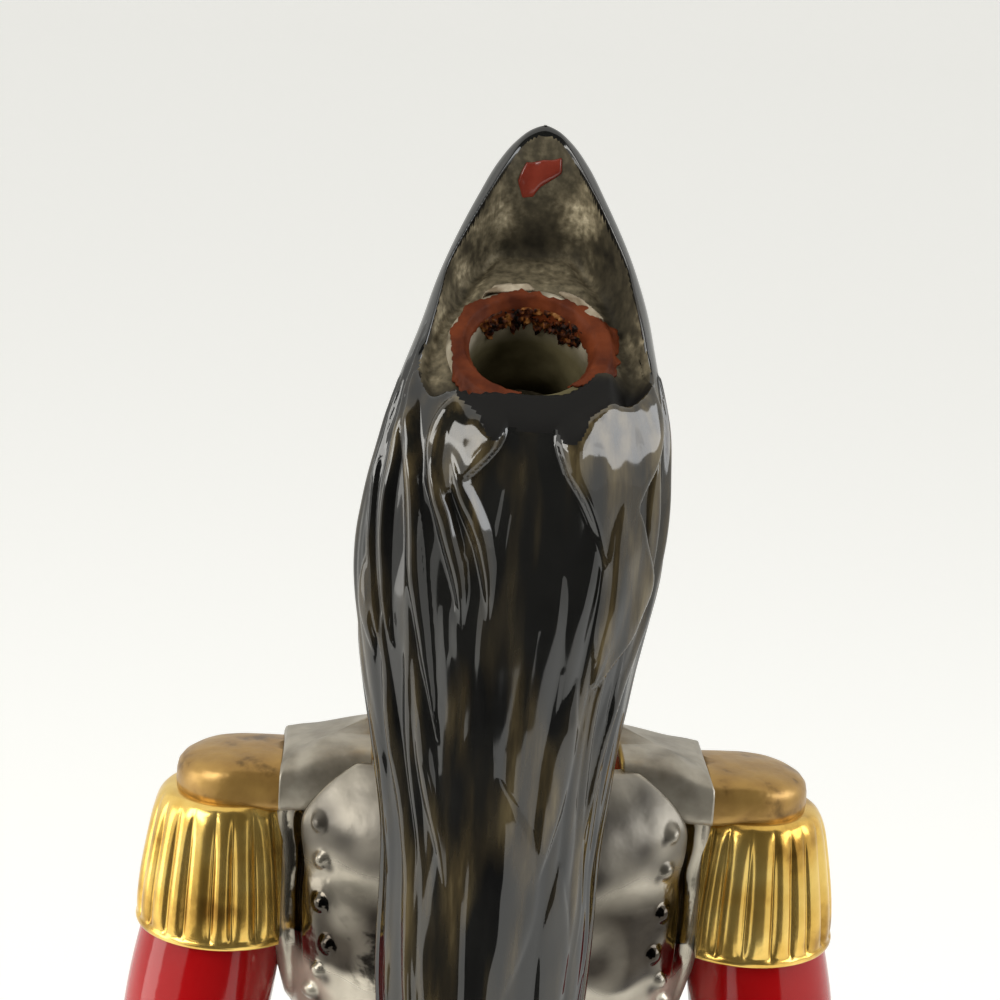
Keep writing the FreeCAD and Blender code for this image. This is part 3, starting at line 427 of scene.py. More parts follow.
# %% The mane's plain form
MANE_STATIONS = (
    # level, half width, front, back
    (427.0, 0.0, 2.6, 2.6),
    (426.2, 2.6, 0.2, 4.6),
    (424.2, 5.1, -1.1, 6.6),
    (421.0, 7.7, -1.6, 9.4),
    (416.0, 10.6, -0.9, 13.4),
    (409.0, 14.2, 1.0, 20.0),
    (398.0, 18.3, 4.0, 32.0),
    (383.0, 22.2, 9.0, 40.5),
    (364.0, 23.6, 12.0, 42.0),
    (342.0, 20.6, 13.0, 41.5),
    (318.0, 17.6, 16.0, 40.5),
    (291.0, 17.0, 20.0, 39.0),
    (268.0, 13.0, 22.0, 36.0),
    (258.5, 6.5, 22.6, 31.5),
    (256.0, 0.0, 26.0, 27.0),
)
MANE_SWAY = (
    # level, how far the middle lies to the figure's left
    (256, 1.6), (293, 2.0), (320, 1.8), (345, 2.4), (372, 1.0), (400, -1.4), (428, -1.9),
)
MANE_ROWS = 330
BACK_COLUMNS = 210
FRONT_COLUMNS = 70


def carried_over(values, sign):
    """The first stations mirrored past the crest's point, so that it is round and not a spike."""
    return np.concatenate([sign * values[2:0:-1], values])


def mane_form():
    """Ovals x = half width cos t, y = middle + half depth sin t, with t denser over the back."""
    level, wide, front, back = np.array(MANE_STATIONS).T
    steps = np.hypot(np.hypot(np.diff(level), np.diff(wide)), np.diff(back))
    length = np.concatenate([[0], np.cumsum(steps)])
    along = np.linspace(0.4, length[-1] - 0.4, MANE_ROWS)
    over = carried_over(length, -1)
    z = smooth_line(along, over, carried_over(level, 1))[:, None]
    half_width = np.maximum(smooth_line(along, over, carried_over(wide, -1)), 0)[:, None]
    middle = smooth_line(along, length, (front + back) / 2)[:, None]
    half_depth = np.maximum(smooth_line(along, over, carried_over((back - front) / 2, -1)), 0)[:, None]
    turn = np.concatenate(
        [np.linspace(0, np.pi, BACK_COLUMNS, False), np.linspace(np.pi, 2 * np.pi, FRONT_COLUMNS, False)]
    )[None, :]
    sway = smooth_line(z, *zip(*MANE_SWAY))
    x = sway + half_width * np.cos(turn)
    y = middle + half_depth * np.sin(turn)
    normal = np.stack([half_depth * np.cos(turn), half_width * np.sin(turn), 0 * turn + 0 * z], axis=-1)
    normal /= np.maximum(np.linalg.norm(normal, axis=-1, keepdims=True), 1e-6)
    side = 1 - turn / (np.pi / 2)
    side = np.where(side < -2, side + 4, side)
    return np.stack([x, y, z + 0 * turn], axis=-1), normal, side + 0 * z


mane_points, mane_normals, mane_side = mane_form()
print("mane form:", mane_points.shape, "lowest", mane_points.min(axis=(0, 1)).round(1))

# %% [markdown]
# The hair is modelled in locks: long, leaf-shaped ridges that lie side by side and overlap. A
# sculptor would draw each with a wire tool. Here a lock is a power curve across its middle line,
# round or flat on top and narrowed to a point at both ends, and the hair is the upper envelope
# of all of them. The big ones are listed one by one; the fine ones come from a seeded draw.

# %% Locks of hair
BIG_LOCKS = (
    # height, flatness of the top, then stations down the lock: level, side (1 on the left to -1), half width
    (1.3, 9, ((392, 0.27, 0.05), (389, 0.29, 0.15), (384, 0.31, 0.18), (380, 0.34, 0.12),
              (376, 0.36, 0.02))),
    (1.6, 2, ((392, 0.70, 0.02), (387, 0.64, 0.05), (376, 0.50, 0.055), (362, 0.41, 0.05),
              (338, 0.30, 0.005))),
    (1.8, 2, ((384, 0.46, 0.02), (379, 0.41, 0.05), (372, 0.31, 0.055), (362, 0.21, 0.035),
              (356, 0.19, 0.004))),
    (1.7, 2, ((382, 0.34, 0.02), (377, 0.26, 0.055), (371, 0.16, 0.05), (361, 0.09, 0.02),
              (357, 0.08, 0.003))),
    (1.3, 2, ((396, 0.78, 0.01), (388, 0.70, 0.045), (376, 0.66, 0.05), (362, 0.60, 0.04),
              (352, 0.55, 0.01))),
    (1.1, 2, ((393, 0.86, 0.01), (376, 0.80, 0.04), (360, 0.68, 0.03), (345, 0.60, 0.005))),
    (1.4, 3, ((366, 0.73, 0.01), (360, 0.73, 0.07), (354, 0.72, 0.06), (350, 0.70, 0.01))),
    (1.2, 2, ((354, 0.42, 0.005), (342, 0.40, 0.05), (328, 0.36, 0.06), (318, 0.30, 0.03),
              (312, 0.27, 0.004))),
    (0.9, 2, ((356, 0.62, 0.005), (340, 0.60, 0.06), (318, 0.55, 0.06), (292, 0.50, 0.03))),
    (1.5, 9, ((397, -0.62, 0.03), (393, -0.52, 0.14), (388, -0.42, 0.29), (381, -0.40, 0.26),
              (376, -0.40, 0.16), (366, -0.44, 0.06), (360, -0.46, 0.01))),
    (1.8, 5, ((378, -0.46, 0.02), (370, -0.50, 0.12), (362, -0.55, 0.16), (355, -0.52, 0.12),
              (347, -0.46, 0.02))),
    (1.3, 2, ((384, -0.68, 0.01), (376, -0.68, 0.06), (368, -0.70, 0.05), (362, -0.72, 0.01))),
    (1.1, 2, ((392, -0.86, 0.01), (376, -0.84, 0.06), (356, -0.78, 0.06), (335, -0.62, 0.04),
              (320, -0.55, 0.01))),
    (1.0, 3, ((348, -0.36, 0.01), (340, -0.34, 0.08), (328, -0.30, 0.09), (316, -0.25, 0.02))),
    (0.9, 4, ((332, 0.00, 0.02), (322, -0.10, 0.14), (310, -0.12, 0.16), (298, -0.05, 0.10),
              (288, 0.00, 0.02))),
    (0.8, 4, ((318, -0.40, 0.01), (306, -0.42, 0.12), (292, -0.40, 0.10), (280, -0.36, 0.02))),
    (0.7, 3, ((322, 0.32, 0.01), (306, 0.34, 0.10), (288, 0.30, 0.08), (272, 0.20, 0.01))),
)
FINE_LOCKS = 90
LOCK_SHARPNESS = 7.0
HAIR_SINK = 0.6


def lock_height(side, level, height, flatness, stations):
    """A ridge 1 - distance ^ flatness over a line through the stations; the flat ones rise to their edges."""
    levels, sides, widths = np.array(stations[::-1]).T
    middle = smooth_line(level, levels, sides)
    half_width = np.maximum(smooth_line(level, levels, widths), 0.004)
    beyond = np.maximum(levels[0] - level, 0) + np.maximum(level - levels[-1], 0)
    share = half_width / widths.max()
    across = np.clip(np.abs(side - middle) / half_width, 0, 3)
    rise = 0.9 * (flatness > 4) * across**2
    return height * np.sqrt(share) * (1 + rise - (1 + rise) * across**flatness) - beyond


def fine_lock(draw):
    """One thin wavy lock with a place, length and size of its own, lower over the middle of the back."""
    start = draw.uniform(-1.9, 1.9)
    top = draw.uniform(322, 398) - 12 * (abs(start) < 0.5)
    length = draw.uniform(40, 105)
    bend = draw.uniform(-0.04, 0.04)
    width = draw.uniform(0.03, 0.07)
    height = draw.uniform(0.4, 1.0) * (0.5 if abs(start) < 0.35 else 1.0)
    falls = ((0, 0, 0.1), (0.25, bend, 0.9), (0.55, -bend, 1.0), (0.8, bend, 0.6), (1, 0, 0.08))
    return height, 2, tuple((top - fall * length, start * (1 - 0.1 * fall) + shift, width * part)
                            for fall, shift, part in falls)


def hair_relief(side, level):
    """The upper envelope of a floor at zero, the big locks, and the fine ones, which fade down the back."""
    draw = np.random.default_rng(7)
    worn_down = 0.45 + 0.55 * soft_step(305, 370, level)
    layers = [np.zeros_like(side + level)] + [lock_height(side, level, *lock) for lock in BIG_LOCKS]
    layers += [worn_down * lock_height(side, level, *fine_lock(draw)) for _ in range(FINE_LOCKS)]
    return upper_envelope(np.clip(layers, -1.5, None), LOCK_SHARPNESS)


mane_level = mane_points[..., 2]
relief = hair_relief(mane_side, mane_level)
# The locks fade out at the crest's point. Lumps follow on the locks, then broad swellings, then streaks.
relief *= soft_step(427, 404, mane_level)
relief += 0.3 * soft_field(mane_points * (1, 1, 0.45), 3.2, 5) * soft_step(0.2, 1.2, relief)
relief += 0.25 * soft_field(mane_points * (1, 1, 0.5), 7.0, 6) * soft_step(412, 396, mane_level)
relief += 0.13 * soft_field(mane_points * (1, 1, 0.3), 1.7, 8) * soft_step(0.7, 1.3, relief)
print("hair relief up to", relief.max().round(2), "mm")

# %% [markdown]
# The nest is cut along the axis of the mouth, which leans back 35 degrees. Seen along that
# axis no wall hides another, so the cut is only a height: each point of the mane keeps its
# place across the axis and drops to the nest's floor where that is lower. A round shelf
# carries the pour neck, a hollow lies behind it under the crest, and a well lets the neck through.

# %% The nest
MOUTH = np.array([0.0, 24.0, 396.0])
MOUTH_AXIS = np.array([0.0, 0.5736, 0.8192])
MOUTH_UP = np.array([0.0, -0.8192, 0.5736])
SIDEWAYS = np.array([1.0, 0.0, 0.0])
NECK_RADIUS = 12.6
BORE_RADIUS = 9.5
SHELF_LEVEL = -1.6
LOW_FLOOR = -4.6
WELL_FLOOR = -20.0
NEST_REACH = 32.0
RIM_ROUNDING = 0.5


def to_mouth(points):
    """Each point's place across, up and along the mouth's axis."""
    apart = points - MOUTH
    return apart[..., 0], apart @ MOUTH_UP, apart @ MOUTH_AXIS


def from_mouth(across, up, along):
    """The points with a given place across, up and along the mouth's axis."""
    return MOUTH + across[..., None] * SIDEWAYS + up[..., None] * MOUTH_UP + along[..., None] * MOUTH_AXIS


SHELF_OUTLINE = (
    # place up the axis' cross plane, half width of the shelf
    (-16, 13.4), (4, 12.8), (14, 8.9), (19.5, 7.2), (24.5, 5.2), (40, 2.0),
)
NEST_MIDDLE = (
    # place up the cross plane, how far the nest's middle lies to the figure's left
    (-20, 0.0), (-4, -0.8), (14, -1.1), (24, -1.6), (40, -1.4),
)
NEST_OUTLINE = (
    # place up the cross plane, half width of the nest
    (-16, 10.5), (-12, 15.6), (-8, 18.6), (-4, 19.4), (0, 17.8), (4.5, 16.2), (9, 15.0), (14, 13.8),
    (19, 10.9), (24, 8.4), (29.6, 6.2), (33, 4.4), (36, 3.0),
)
NEST_DEPTH = (
    # place up the cross plane, height of the low floor and of the wall behind it
    (-30, -4.6), (14, -4.6), (23, -4.6), (24.3, -2.6), (25.5, 1.0), (26.5, 3.5), (27.4, 5.6),
    (28.5, 7.7), (30.5, 10.0), (33, 12.4), (36, 15.0),
)


def past_shelf(across, up):
    """How far a place lies past the edge of the shelf, which bends to the right as it narrows."""
    return np.abs(across + 1.0 * soft_step(4, 12, up)) - smooth_line(up, *zip(*SHELF_OUTLINE))


def nest_floor(across, up):
    """The floor's height along the axis: a wall up to the rim, a low floor and the neck's shelf on it."""
    centre = across - smooth_line(up, *zip(*NEST_MIDDLE))
    half_width = smooth_line(up, *zip(*NEST_OUTLINE))
    wall = 9.0 * np.clip(np.abs(centre) / half_width, 0, 1.6) ** 8
    beside_mouth = soft_step(10.7, 11.5, np.hypot(across, up))
    right_lip = beside_mouth * soft_step(-3.0, -6.0, up) * soft_step(-2, -5, across)
    lip = 5.4 * np.maximum(soft_step(-9.5, -10.7, up), right_lip) * soft_step(15.5, 11.5, np.abs(across))
    shelf = soft_step(2.6, -1.6, past_shelf(across, up)) * soft_step(24.2, 20.5, up)
    low = wall + smooth_line(up, *zip(*NEST_DEPTH))
    floor = np.maximum(low, low + (SHELF_LEVEL - LOW_FLOOR - wall) * shelf)
    lumps = 0.25 * soft_field(np.stack([across, up, 0 * up], axis=-1), 3.0, 13)
    return np.maximum(floor + lumps, low + lip)


def well_radius(up):
    """How far out the well reaches: half into the neck's wall, and less below, where glaze runs over it."""
    below = soft_step(-7.0, -9.0, up)
    return (NECK_RADIUS + BORE_RADIUS) / 2 - 0.85 * below


def cut_nest(points):
    """Points on the upper back drop along the mouth's axis to the nest's floor, with a rounded rim."""
    across, up, along = to_mouth(points)
    floor = nest_floor(across, up)
    radius = np.hypot(across, up)
    floor = np.where(radius < well_radius(up), WELL_FLOOR, floor)
    facing = points[..., 1] > MOUTH[1] - NEST_REACH
    lowered = lower_envelope(along, floor, RIM_ROUNDING)
    drop = np.where(facing & (along > floor - 3), lowered - along, 0)
    return points + drop[..., None] * MOUTH_AXIS, drop


PALE_PATCHES = (
    # across, up, along the axis, reach, how much paler
    (4.8, 26.2, 2.8, 2.4, 0.42), (-8.6, 25.2, 2.5, 2.8, 0.46), (-6.8, 26.8, 4.2, 1.8, 0.25),
    (13.2, 5.0, -1.0, 2.8, 0.32), (14.0, -1.0, -2.0, 2.6, 0.4), (9.6, 15.5, 0.0, 2.4, 0.25),
    (12.6, -5.0, -3.0, 2.0, 0.35), (-14.0, 2.5, -2.0, 1.8, 0.45),
)


def nest_dirt_and_shade(points):
    """How pale the dirt is: mottled walls with pale patches, an olive shelf, dark pockets, and painted shade
    in the hollow under the crest.
    """
    across, up, along = to_mouth(points)
    mottle = 0.26 * soft_field(points, 3.4, 11) + 0.16 * soft_field(points, 1.1, 12)
    from_shelf = past_shelf(across, up)
    pale = 0.38 + mottle
    for *place, reach, more in PALE_PATCHES:
        apart = np.stack([across, up, along], axis=-1) - place
        pale = pale + more * np.exp(-(apart**2).sum(axis=-1) / reach**2)
    on_shelf = soft_step(1.8, -1.8, from_shelf) * soft_step(24.5, 22, up)
    pale = pale + on_shelf * (0.47 + 0.2 * mottle - pale)
    streak = np.exp(-((from_shelf / 0.8) ** 2)) * soft_step(2, 8, up) * soft_step(26, 24, up)
    pale = pale + 0.2 * streak
    # Painted shade: the hollow under the crest is darkened.
    hollow = hill(across + 1.2, along + 2.0, 4.4, 2.6) * soft_step(21.5, 23.5, up)
    right_wall = soft_step(-10, -12.5, across) * soft_step(22, 18, up) * soft_step(5, 8, up)
    pale = pale * (1 - 0.85 * hollow) * (1 - 0.5 * right_wall)
    # It is black below the mouth, and even under the crest's point.
    pale = pale * soft_step(-8, -2, up + 4 * soft_step(8, 13, across))
    pale = pale + soft_step(26.6, 28.4, up) * (0.33 - pale)
    return np.clip(pale, 0, 1)


haired = mane_points + mane_normals * (relief - HAIR_SINK)[..., None]
mane_cut, mane_drop = cut_nest(haired)
broad_strands = 0.6 * soft_field(mane_points * (1, 1, 0.12), 4.0, 3)
fine_strands = 0.7 * soft_field(mane_points * (1, 1, 0.14), 2.0, 4)
thin_glaze = np.clip(0.12 + 0.45 * relief + broad_strands + fine_strands, 0, 1)
thin_glaze *= soft_step(408, 384, mane_level)
thin_glaze *= 1 - 0.45 * hill(mane_side + 0.03, mane_level - 358, 0.2, 20)
# Dirt covers what the cut has lowered, and below the mouth it reaches over the edge.
_, mane_up, _ = to_mouth(mane_cut)
soiled = np.where(mane_up < 0, soft_step(-0.05, -0.25, mane_drop), soft_step(-0.3, -0.8, mane_drop))
make_piece(
    "mane", *skin(mane_cut), "black_glaze", nodes=["mane"],
    soiled=soiled, thin=thin_glaze, dirt=nest_dirt_and_shade(mane_cut)
)

# %% [markdown]
# The pour neck is a short unglazed tube that stands up out of the shelf. It is a profile
# turned round the mouth's axis: up the outside, round the lip and down the bore.

# %% Pour neck
def spoke(angle, up=MOUTH_UP):
    """The way outwards at an angle round an axis: to the figure's left at 0, along up at a right angle."""
    return np.cos(angle)[..., None] * SIDEWAYS + np.sin(angle)[..., None] * up


def turned(profile, steps, origin=MOUTH, axis=MOUTH_AXIS, up=MOUTH_UP):
    """A profile of (radius, height) carried round an axis."""
    radius, height = np.asarray(profile, float).T
    ring = spoke(np.linspace(0, 2 * np.pi, steps, False), up)
    return origin + radius[:, None, None] * ring + height[:, None, None] * axis


NECK_PROFILE = (
    # radius, height along the axis
    (12.4, -21.5), (12.6, -6.0), (12.6, -1.2), (12.2, -0.35), (11.4, 0.0), (10.3, -0.05), (9.7, -0.8),
    (9.5, -1.4), (9.5, -3.0), (9.5, -5.0), (9.5, -7.0), (9.5, -9.0), (9.5, -12.0), (9.5, -16.0), (9.6, -21.5),
)
neck_grid = turned(NECK_PROFILE, 96)
_, neck_up, neck_height = to_mouth(neck_grid)
# Painted shade darkens the bore deeper down; the rim below the mouth is darker too.
make_piece(
    "pour_neck", *skin(neck_grid, loop=True), "bare_ceramic", nodes=["pour_neck"],
    stain=np.maximum(soft_step(-2.5, -9.0, neck_height), soft_step(-6.0, -8.5, neck_up))
)

# %% [markdown]
# A torn seal still sticks to the rim. It is a thin band that lies on the shelf, bends over the
# rim and hangs into the bore: broad on one side, narrow on the other and torn away below. It
# could be cut out of a plane, but as a function of the angle each tear is one number. Under it
# shows the pale paper, and crumbs of the old cork stick to the bore's far wall.

# %% Remains of the seal
SEAL_STATIONS = (
    # angle (0 on the figure's left, 90 at the top), outer radius, how deep it hangs into the bore
    (-82, 10.6, 0.1), (-66, 12.2, 0.4), (-46, 13.6, 0.5), (-10, 12.1, 0.3), (30, 12.0, 0.5), (60, 11.6, 1.6),
    (76, 11.4, 2.2), (100, 11.0, 2.4), (118, 10.9, 2.4), (140, 12.6, 2.0), (156, 14.0, 1.8), (180, 13.6, 1.5),
    (208, 13.4, 1.2), (222, 11.6, 0.6), (232, 10.4, 0.1),
)
SEAL_THICKNESS = 0.45
RIM_EDGE = 12.4
BAND_INNER = 9.55


def rim_circle(angle):
    """A circle about as large as the rim, where the random fields for tears and crumbs are read."""
    return 10 * np.stack([np.cos(angle), np.sin(angle), 0 * angle], axis=-1)


def rim_band(angle, outer, depth, lift, seed):
    """A strip across the rim at each angle, from the outer edge over the crown and down into the bore."""
    circle = rim_circle(angle)
    ragged = 0.45 * soft_field(circle, 1.3, seed) + 0.35 * soft_field(circle, 0.5, seed + 1)
    outer = (outer + ragged)[:, None]
    depth = np.maximum(depth + 1.4 * np.roll(ragged, 17), 0.05)[:, None]
    share = np.linspace(0, 1, 15)[None, :]
    over = np.clip(share / 0.6, 0, 1)
    radius = outer + (BAND_INNER - outer) * over
    onto_shelf = SHELF_LEVEL * soft_step(RIM_EDGE, 13.2, radius)
    into_bore = -1.2 * soft_step(10.2, BORE_RADIUS, radius)
    height = np.where(radius > RIM_EDGE, onto_shelf, into_bore)
    height = height - depth * np.clip((share - 0.6) / 0.4, 0, 1)
    radius = radius - lift * soft_step(0.5, 0.8, share)
    height = height + lift * soft_step(0.9, 0.5, share) + 0.12 * soft_field(circle, 0.9, seed + 2)[:, None]
    return MOUTH + radius[..., None] * spoke(angle)[:, None] + height[..., None] * MOUTH_AXIS


def seal_band():
    """The band's upper and under side over its whole sweep."""
    stations, outer, depth = np.array(SEAL_STATIONS).T
    sweep = np.linspace(stations[0], stations[-1], 300)
    edges = smooth_line(sweep, stations, outer), smooth_line(sweep, stations, depth)
    angle = np.radians(sweep)
    return shell(rim_band(angle, *edges, SEAL_THICKNESS, 21), rim_band(angle, *edges, 0.02, 21))


def flake(corners, surface, thickness, rings=9, steps=120):
    """A flake with straight edges on a height field: rings from its middle out to the edge and back under."""
    corners = np.array(corners, float)
    middle = corners.mean(axis=0)
    apart = corners - middle
    bearing = np.arctan2(apart[:, 1], apart[:, 0])
    order = np.argsort(bearing)
    bearing, far = bearing[order], np.hypot(*apart[order].T)
    turn = np.linspace(-np.pi, np.pi, steps, False)
    after = np.searchsorted(bearing, turn, side="right") % len(far)
    since, until = np.mod(turn - bearing[after - 1], 2 * np.pi), np.mod(bearing[after] - turn, 2 * np.pi)
    edge = far[after - 1] * np.sin(since) + far[after] * np.sin(until)
    reach = far[after - 1] * far[after] * np.sin(since + until) / edge
    share = np.concatenate([np.linspace(0.03, 1, rings), np.linspace(1, 0.03, rings)])[:, None]
    upper = (np.arange(2 * rings) < rings)[:, None]
    across = middle[0] + share * reach * np.cos(turn)
    up = middle[1] + share * reach * np.sin(turn)
    curl = thickness * (1 + 0.8 * soft_field(np.stack([across, up, 0 * up], axis=-1), 1.6, 23))
    height = surface(across, up) + np.where(upper, curl * (1 - 0.6 * share**6), -0.3)
    return skin(from_mouth(across, up, height))


CRUST_START, CRUST_END = 32, 158
CRUST_SEAT = 9.45


def cork_crust(lift):
    """A crusted strip on the bore's far wall, thick with grains, with a ragged lower edge."""
    angle = np.radians(np.linspace(CRUST_START, CRUST_END, 260))[:, None]
    share = np.linspace(0, 1, 34)[None, :]
    circle = rim_circle(angle)
    ragged = soft_field(circle, 1.0, 28) + 0.7 * soft_field(circle, 0.4, 29)
    degrees = np.degrees(angle)
    ends = soft_step(CRUST_START, CRUST_START + 20, degrees) * soft_step(CRUST_END, CRUST_END - 18, degrees)
    depth = 1.2 + share * (0.2 + ends * np.clip(4.6 + 1.3 * ragged, 1.5, 7.0))
    wall = spoke(angle)
    flat = MOUTH + CRUST_SEAT * wall - depth[..., None] * MOUTH_AXIS
    grains = np.clip(0.5 + 0.5 * soft_field(flat, 0.75, 25) + 0.4 * soft_field(flat, 0.4, 26), 0.05, 1.4)
    height = lift * grains * np.sqrt(np.clip(1 - (2 * share - 1) ** 6, 0, 1)) * ends
    return flat - height[..., None] * wall


def rim_surface(across, up):
    """The height that lies on the rim near the mouth and on the nest's floor beyond it."""
    radius = np.hypot(across, up)
    return np.where(radius < 12.8, 0.35, nest_floor(across, up))


PAPER_FLAKES = (
    # the corners of each flake, across and up
    ((7.4, 10.6), (5.2, 14.2), (2.6, 15.0), (0.4, 13.2), (-1.0, 11.6), (3.0, 11.0)),
    ((-4.4, 11.4), (-8.0, 11.6), (-11.6, 8.6), (-12.2, 5.8), (-9.4, 6.4), (-6.6, 9.2)),
)
band = seal_band()
paper = gather([flake(corners, rim_surface, 0.2) for corners in PAPER_FLAKES])
crumbs = shell(cork_crust(1.0), cork_crust(-0.02))
seal_vertices, seal_faces = gather([band, paper, crumbs])
seal_kinds = np.repeat([0, 1, 2], [len(band[0]), len(paper[0]), len(crumbs[0])])
make_piece(
    "rim_seal_remains", seal_vertices, seal_faces, "seal_paper", nodes=["rim_seal_remains"],
    paper=seal_kinds == 1, crumb=seal_kinds == 2
)

# %% [markdown]
# High in the nest, under the crest's point, a shiny scrap of the same seal is left. It is one
# more flake, seated on the nest's back wall.

# %% Scrap of the seal
SCRAP_CORNERS = (
    # across and up
    (0.9, 30.1), (-4.6, 30.7), (-4.7, 29.2), (-3.5, 28.6), (-1.5, 27.9), (-0.4, 27.2), (1.2, 27.1),
    (2.1, 28.2),
)
make_piece(
    "seal_scrap", *flake(SCRAP_CORNERS, nest_floor, 0.5), "seal_wax", nodes=["seal_scrap"], slot="seal_paper"
)

# %% [markdown]
# The trunk is a stack of ovals too, and the cuirass is a plate over it. From behind it shows a
# raised border round each armhole, a groove inside it and a row of rivets. On the real piece
# they are cast in one with the plate and the lustre runs over them, so they are heights on one
# grid rather than separate tubes and balls. Each height depends on how far a point lies from the
# armhole, measured along the plate.

# %% Cuirass
TRUNK_STATIONS = (
    # level, half width, half depth of the plate's outside
    (250.0, 29.8, 22.8),
    (268.0, 30.8, 24.2),
    (282.0, 33.4, 25.8),
    (293.0, 35.6, 25.8),
    (303.0, 36.0, 24.4),
    (311.0, 35.8, 21.7),
    (317.0, 34.4, 18.2),
    (321.0, 31.5, 15.0),
    (326.0, 24.0, 11.0),
)
PLATE_LEVELS = (252.2, 322.8)
PLATE_THICKNESS = 2.0
ARMHOLE_LEVEL = 302.0
ARMHOLE_REACH = 6.2
ARMHOLE_HEIGHT = 17.0
BORDER_WIDTH = 2.8
GROOVE_PATH = 11.4
GROOVE_HALF_WIDTH = 1.8
RIVETS = (
    # how far aside, level
    (28.8, 314.2), (28.2, 308.0), (28.0, 300.8), (26.8, 294.0), (28.2, 288.6), (29.4, 284.0),
)
RIVET_RADIUS = 1.35
RIVET_HEIGHT = 1.2


def armhole_distance(walk, level):
    """Millimetres from the armhole's middle, by a boxy oval: the cube root of walk3 + (drawn-in level)3."""
    drawn_in = np.abs(level - ARMHOLE_LEVEL) * ARMHOLE_REACH / ARMHOLE_HEIGHT
    return np.cbrt(np.abs(walk) ** 3 + drawn_in**3)


def plate_relief(walk, aside, level):
    """The armhole's slanted border, a groove inside it and rivets; also the painted shade in the groove and
    beside the rivets, and the border's place.
    """
    away = armhole_distance(walk, level)
    share = (ARMHOLE_REACH + BORDER_WIDTH - away) / BORDER_WIDTH
    border = (1.0 + 0.5 * np.clip(share, 0, 1)) * soft_step(-0.15, 0.2, share)
    border = border * soft_step(ARMHOLE_REACH - 1.5, ARMHOLE_REACH, away)
    groove = np.exp(-(((away - GROOVE_PATH) / GROOVE_HALF_WIDTH) ** 4)) * soft_step(286, 292, level)
    height = border - 1.0 * groove
    # Painted shade fills the groove.
    grime = 0.95 * groove
    for across, rivet in RIVETS:
        apart = np.hypot(1.35 * (aside - across), level - rivet)
        height = height + RIVET_HEIGHT * np.exp(-((apart / RIVET_RADIUS) ** 4))
        # Painted shade below each rivet, on the side towards the middle of the back.
        grime = np.maximum(grime, 0.9 * hill(across - aside - 1.3, level - rivet + 1.0, 1.0, 1.2))
    return height, grime, np.clip(border, 0, 1)


def plate_shade_and_wear(base, from_side, border):
    """A painted dark reflection in the hollow of the back and painted shade under the straps; wear under the
    straps, on the border and low down.
    """
    level = base[..., 2]
    hollow = soft_step(288.5, 290.5, level + 2.0 * soft_field(base, 5.0, 34)) * soft_step(309, 301, level)
    hollow = hollow * soft_step(12, 15, from_side) * np.clip(0.85 + 0.4 * soft_field(base, 6.0, 33), 0, 0.95)
    patches = level + 2.5 * soft_field(base, 5.0, 35)
    under_strap = soft_step(304, 310, patches) * soft_step(12, 14, from_side)
    worn = np.maximum(np.maximum(under_strap, border), 0.8 * soft_step(291, 288, patches))
    return np.maximum(hollow, under_strap * np.clip(0.66 + 0.3 * soft_field(base, 4.0, 36), 0, 1)), worn


def cuirass_plate(facing, rows, columns):
    """Half ovals, boxy at the shoulders, with relief along their normals; facing is 1 behind, -1 in front."""
    level = np.linspace(*PLATE_LEVELS, rows)[:, None]
    turn = np.linspace(0.025 * np.pi, 0.975 * np.pi, columns)[None, :]
    stations, wide, deep = np.array(TRUNK_STATIONS).T
    half_width = smooth_line(level, stations, wide)
    half_depth = smooth_line(level, stations, deep)
    boxy = 1 - 0.4 * soft_step(304, 315, level)
    x = half_width * np.cos(turn)
    y = half_depth * np.sin(turn) ** boxy
    steps = np.hypot(np.diff(x, axis=1), np.diff(y, axis=1))
    walk = np.concatenate([0 * level, np.cumsum(steps, axis=1)], axis=1) + y[:, :1]
    from_side = np.minimum(walk, walk[:, -1:] + y[:, :1] - walk)
    outward = np.stack([half_depth * np.cos(turn), half_width * np.sin(turn), 0 * x], axis=-1)
    outward /= np.linalg.norm(outward, axis=-1, keepdims=True)
    base = np.stack([x, y, level + 0 * x], axis=-1)
    lumps = 0.22 * soft_field(base, 7.0, 31) + 0.1 * soft_field(base, 3.0, 32)
    height, grime, border = plate_relief(from_side, np.abs(x), level)
    outside = base + outward * (height + lumps)[..., None]
    inside = base - outward * (PLATE_THICKNESS + 1.0)
    # Painted dark reflection in the hollow of the back and painted shade under the straps, and the wear.
    painted_back_dark, worn = plate_shade_and_wear(base, from_side, border)
    behind = facing > 0
    paints = {"grime": np.maximum(grime, painted_back_dark * behind), "worn": worn * behind}
    return shell(outside * (1, facing, 1), inside * (1, facing, 1)), paints


for plate, facing, rows, columns in (("backplate", 1, 160, 230), ("breastplate", -1, 120, 170)):
    plate_skin, plate_paints = cuirass_plate(facing, rows, columns)
    make_piece(plate, *plate_skin, "platinum_lustre", nodes=[plate], **plate_paints)

# %% [markdown]
# Over each shoulder lies a padded strap in platinum, and the gold board of the epaulette carries
# on its line to the arm. Both are cushions: a plan outline drawn inwards as it rises. A bevelled
# box would show flat facets in the lustre, while here the roll of the edge is one smooth curve.

# %% Shoulder straps and epaulette boards
CUSHION_ROLL = (
    # drawn in from the outline, and share of the height
    (1.6, 0.0), (0.5, 0.06), (0.05, 0.16), (0.0, 0.3), (0.05, 0.5), (0.2, 0.64),
    (0.6, 0.75), (1.3, 0.835), (2.4, 0.9), (4.4, 0.96), (7.4, 0.99),
)
STRAP = {"inner": 20.6, "outer": 35.6, "half_depth": 12.5, "bottom": 314.5, "top": 323.4}
BOARD = {"inner": 35.4, "outer": 53.0, "half_depth": 9.6, "bottom": 313.4, "top": 322.0}


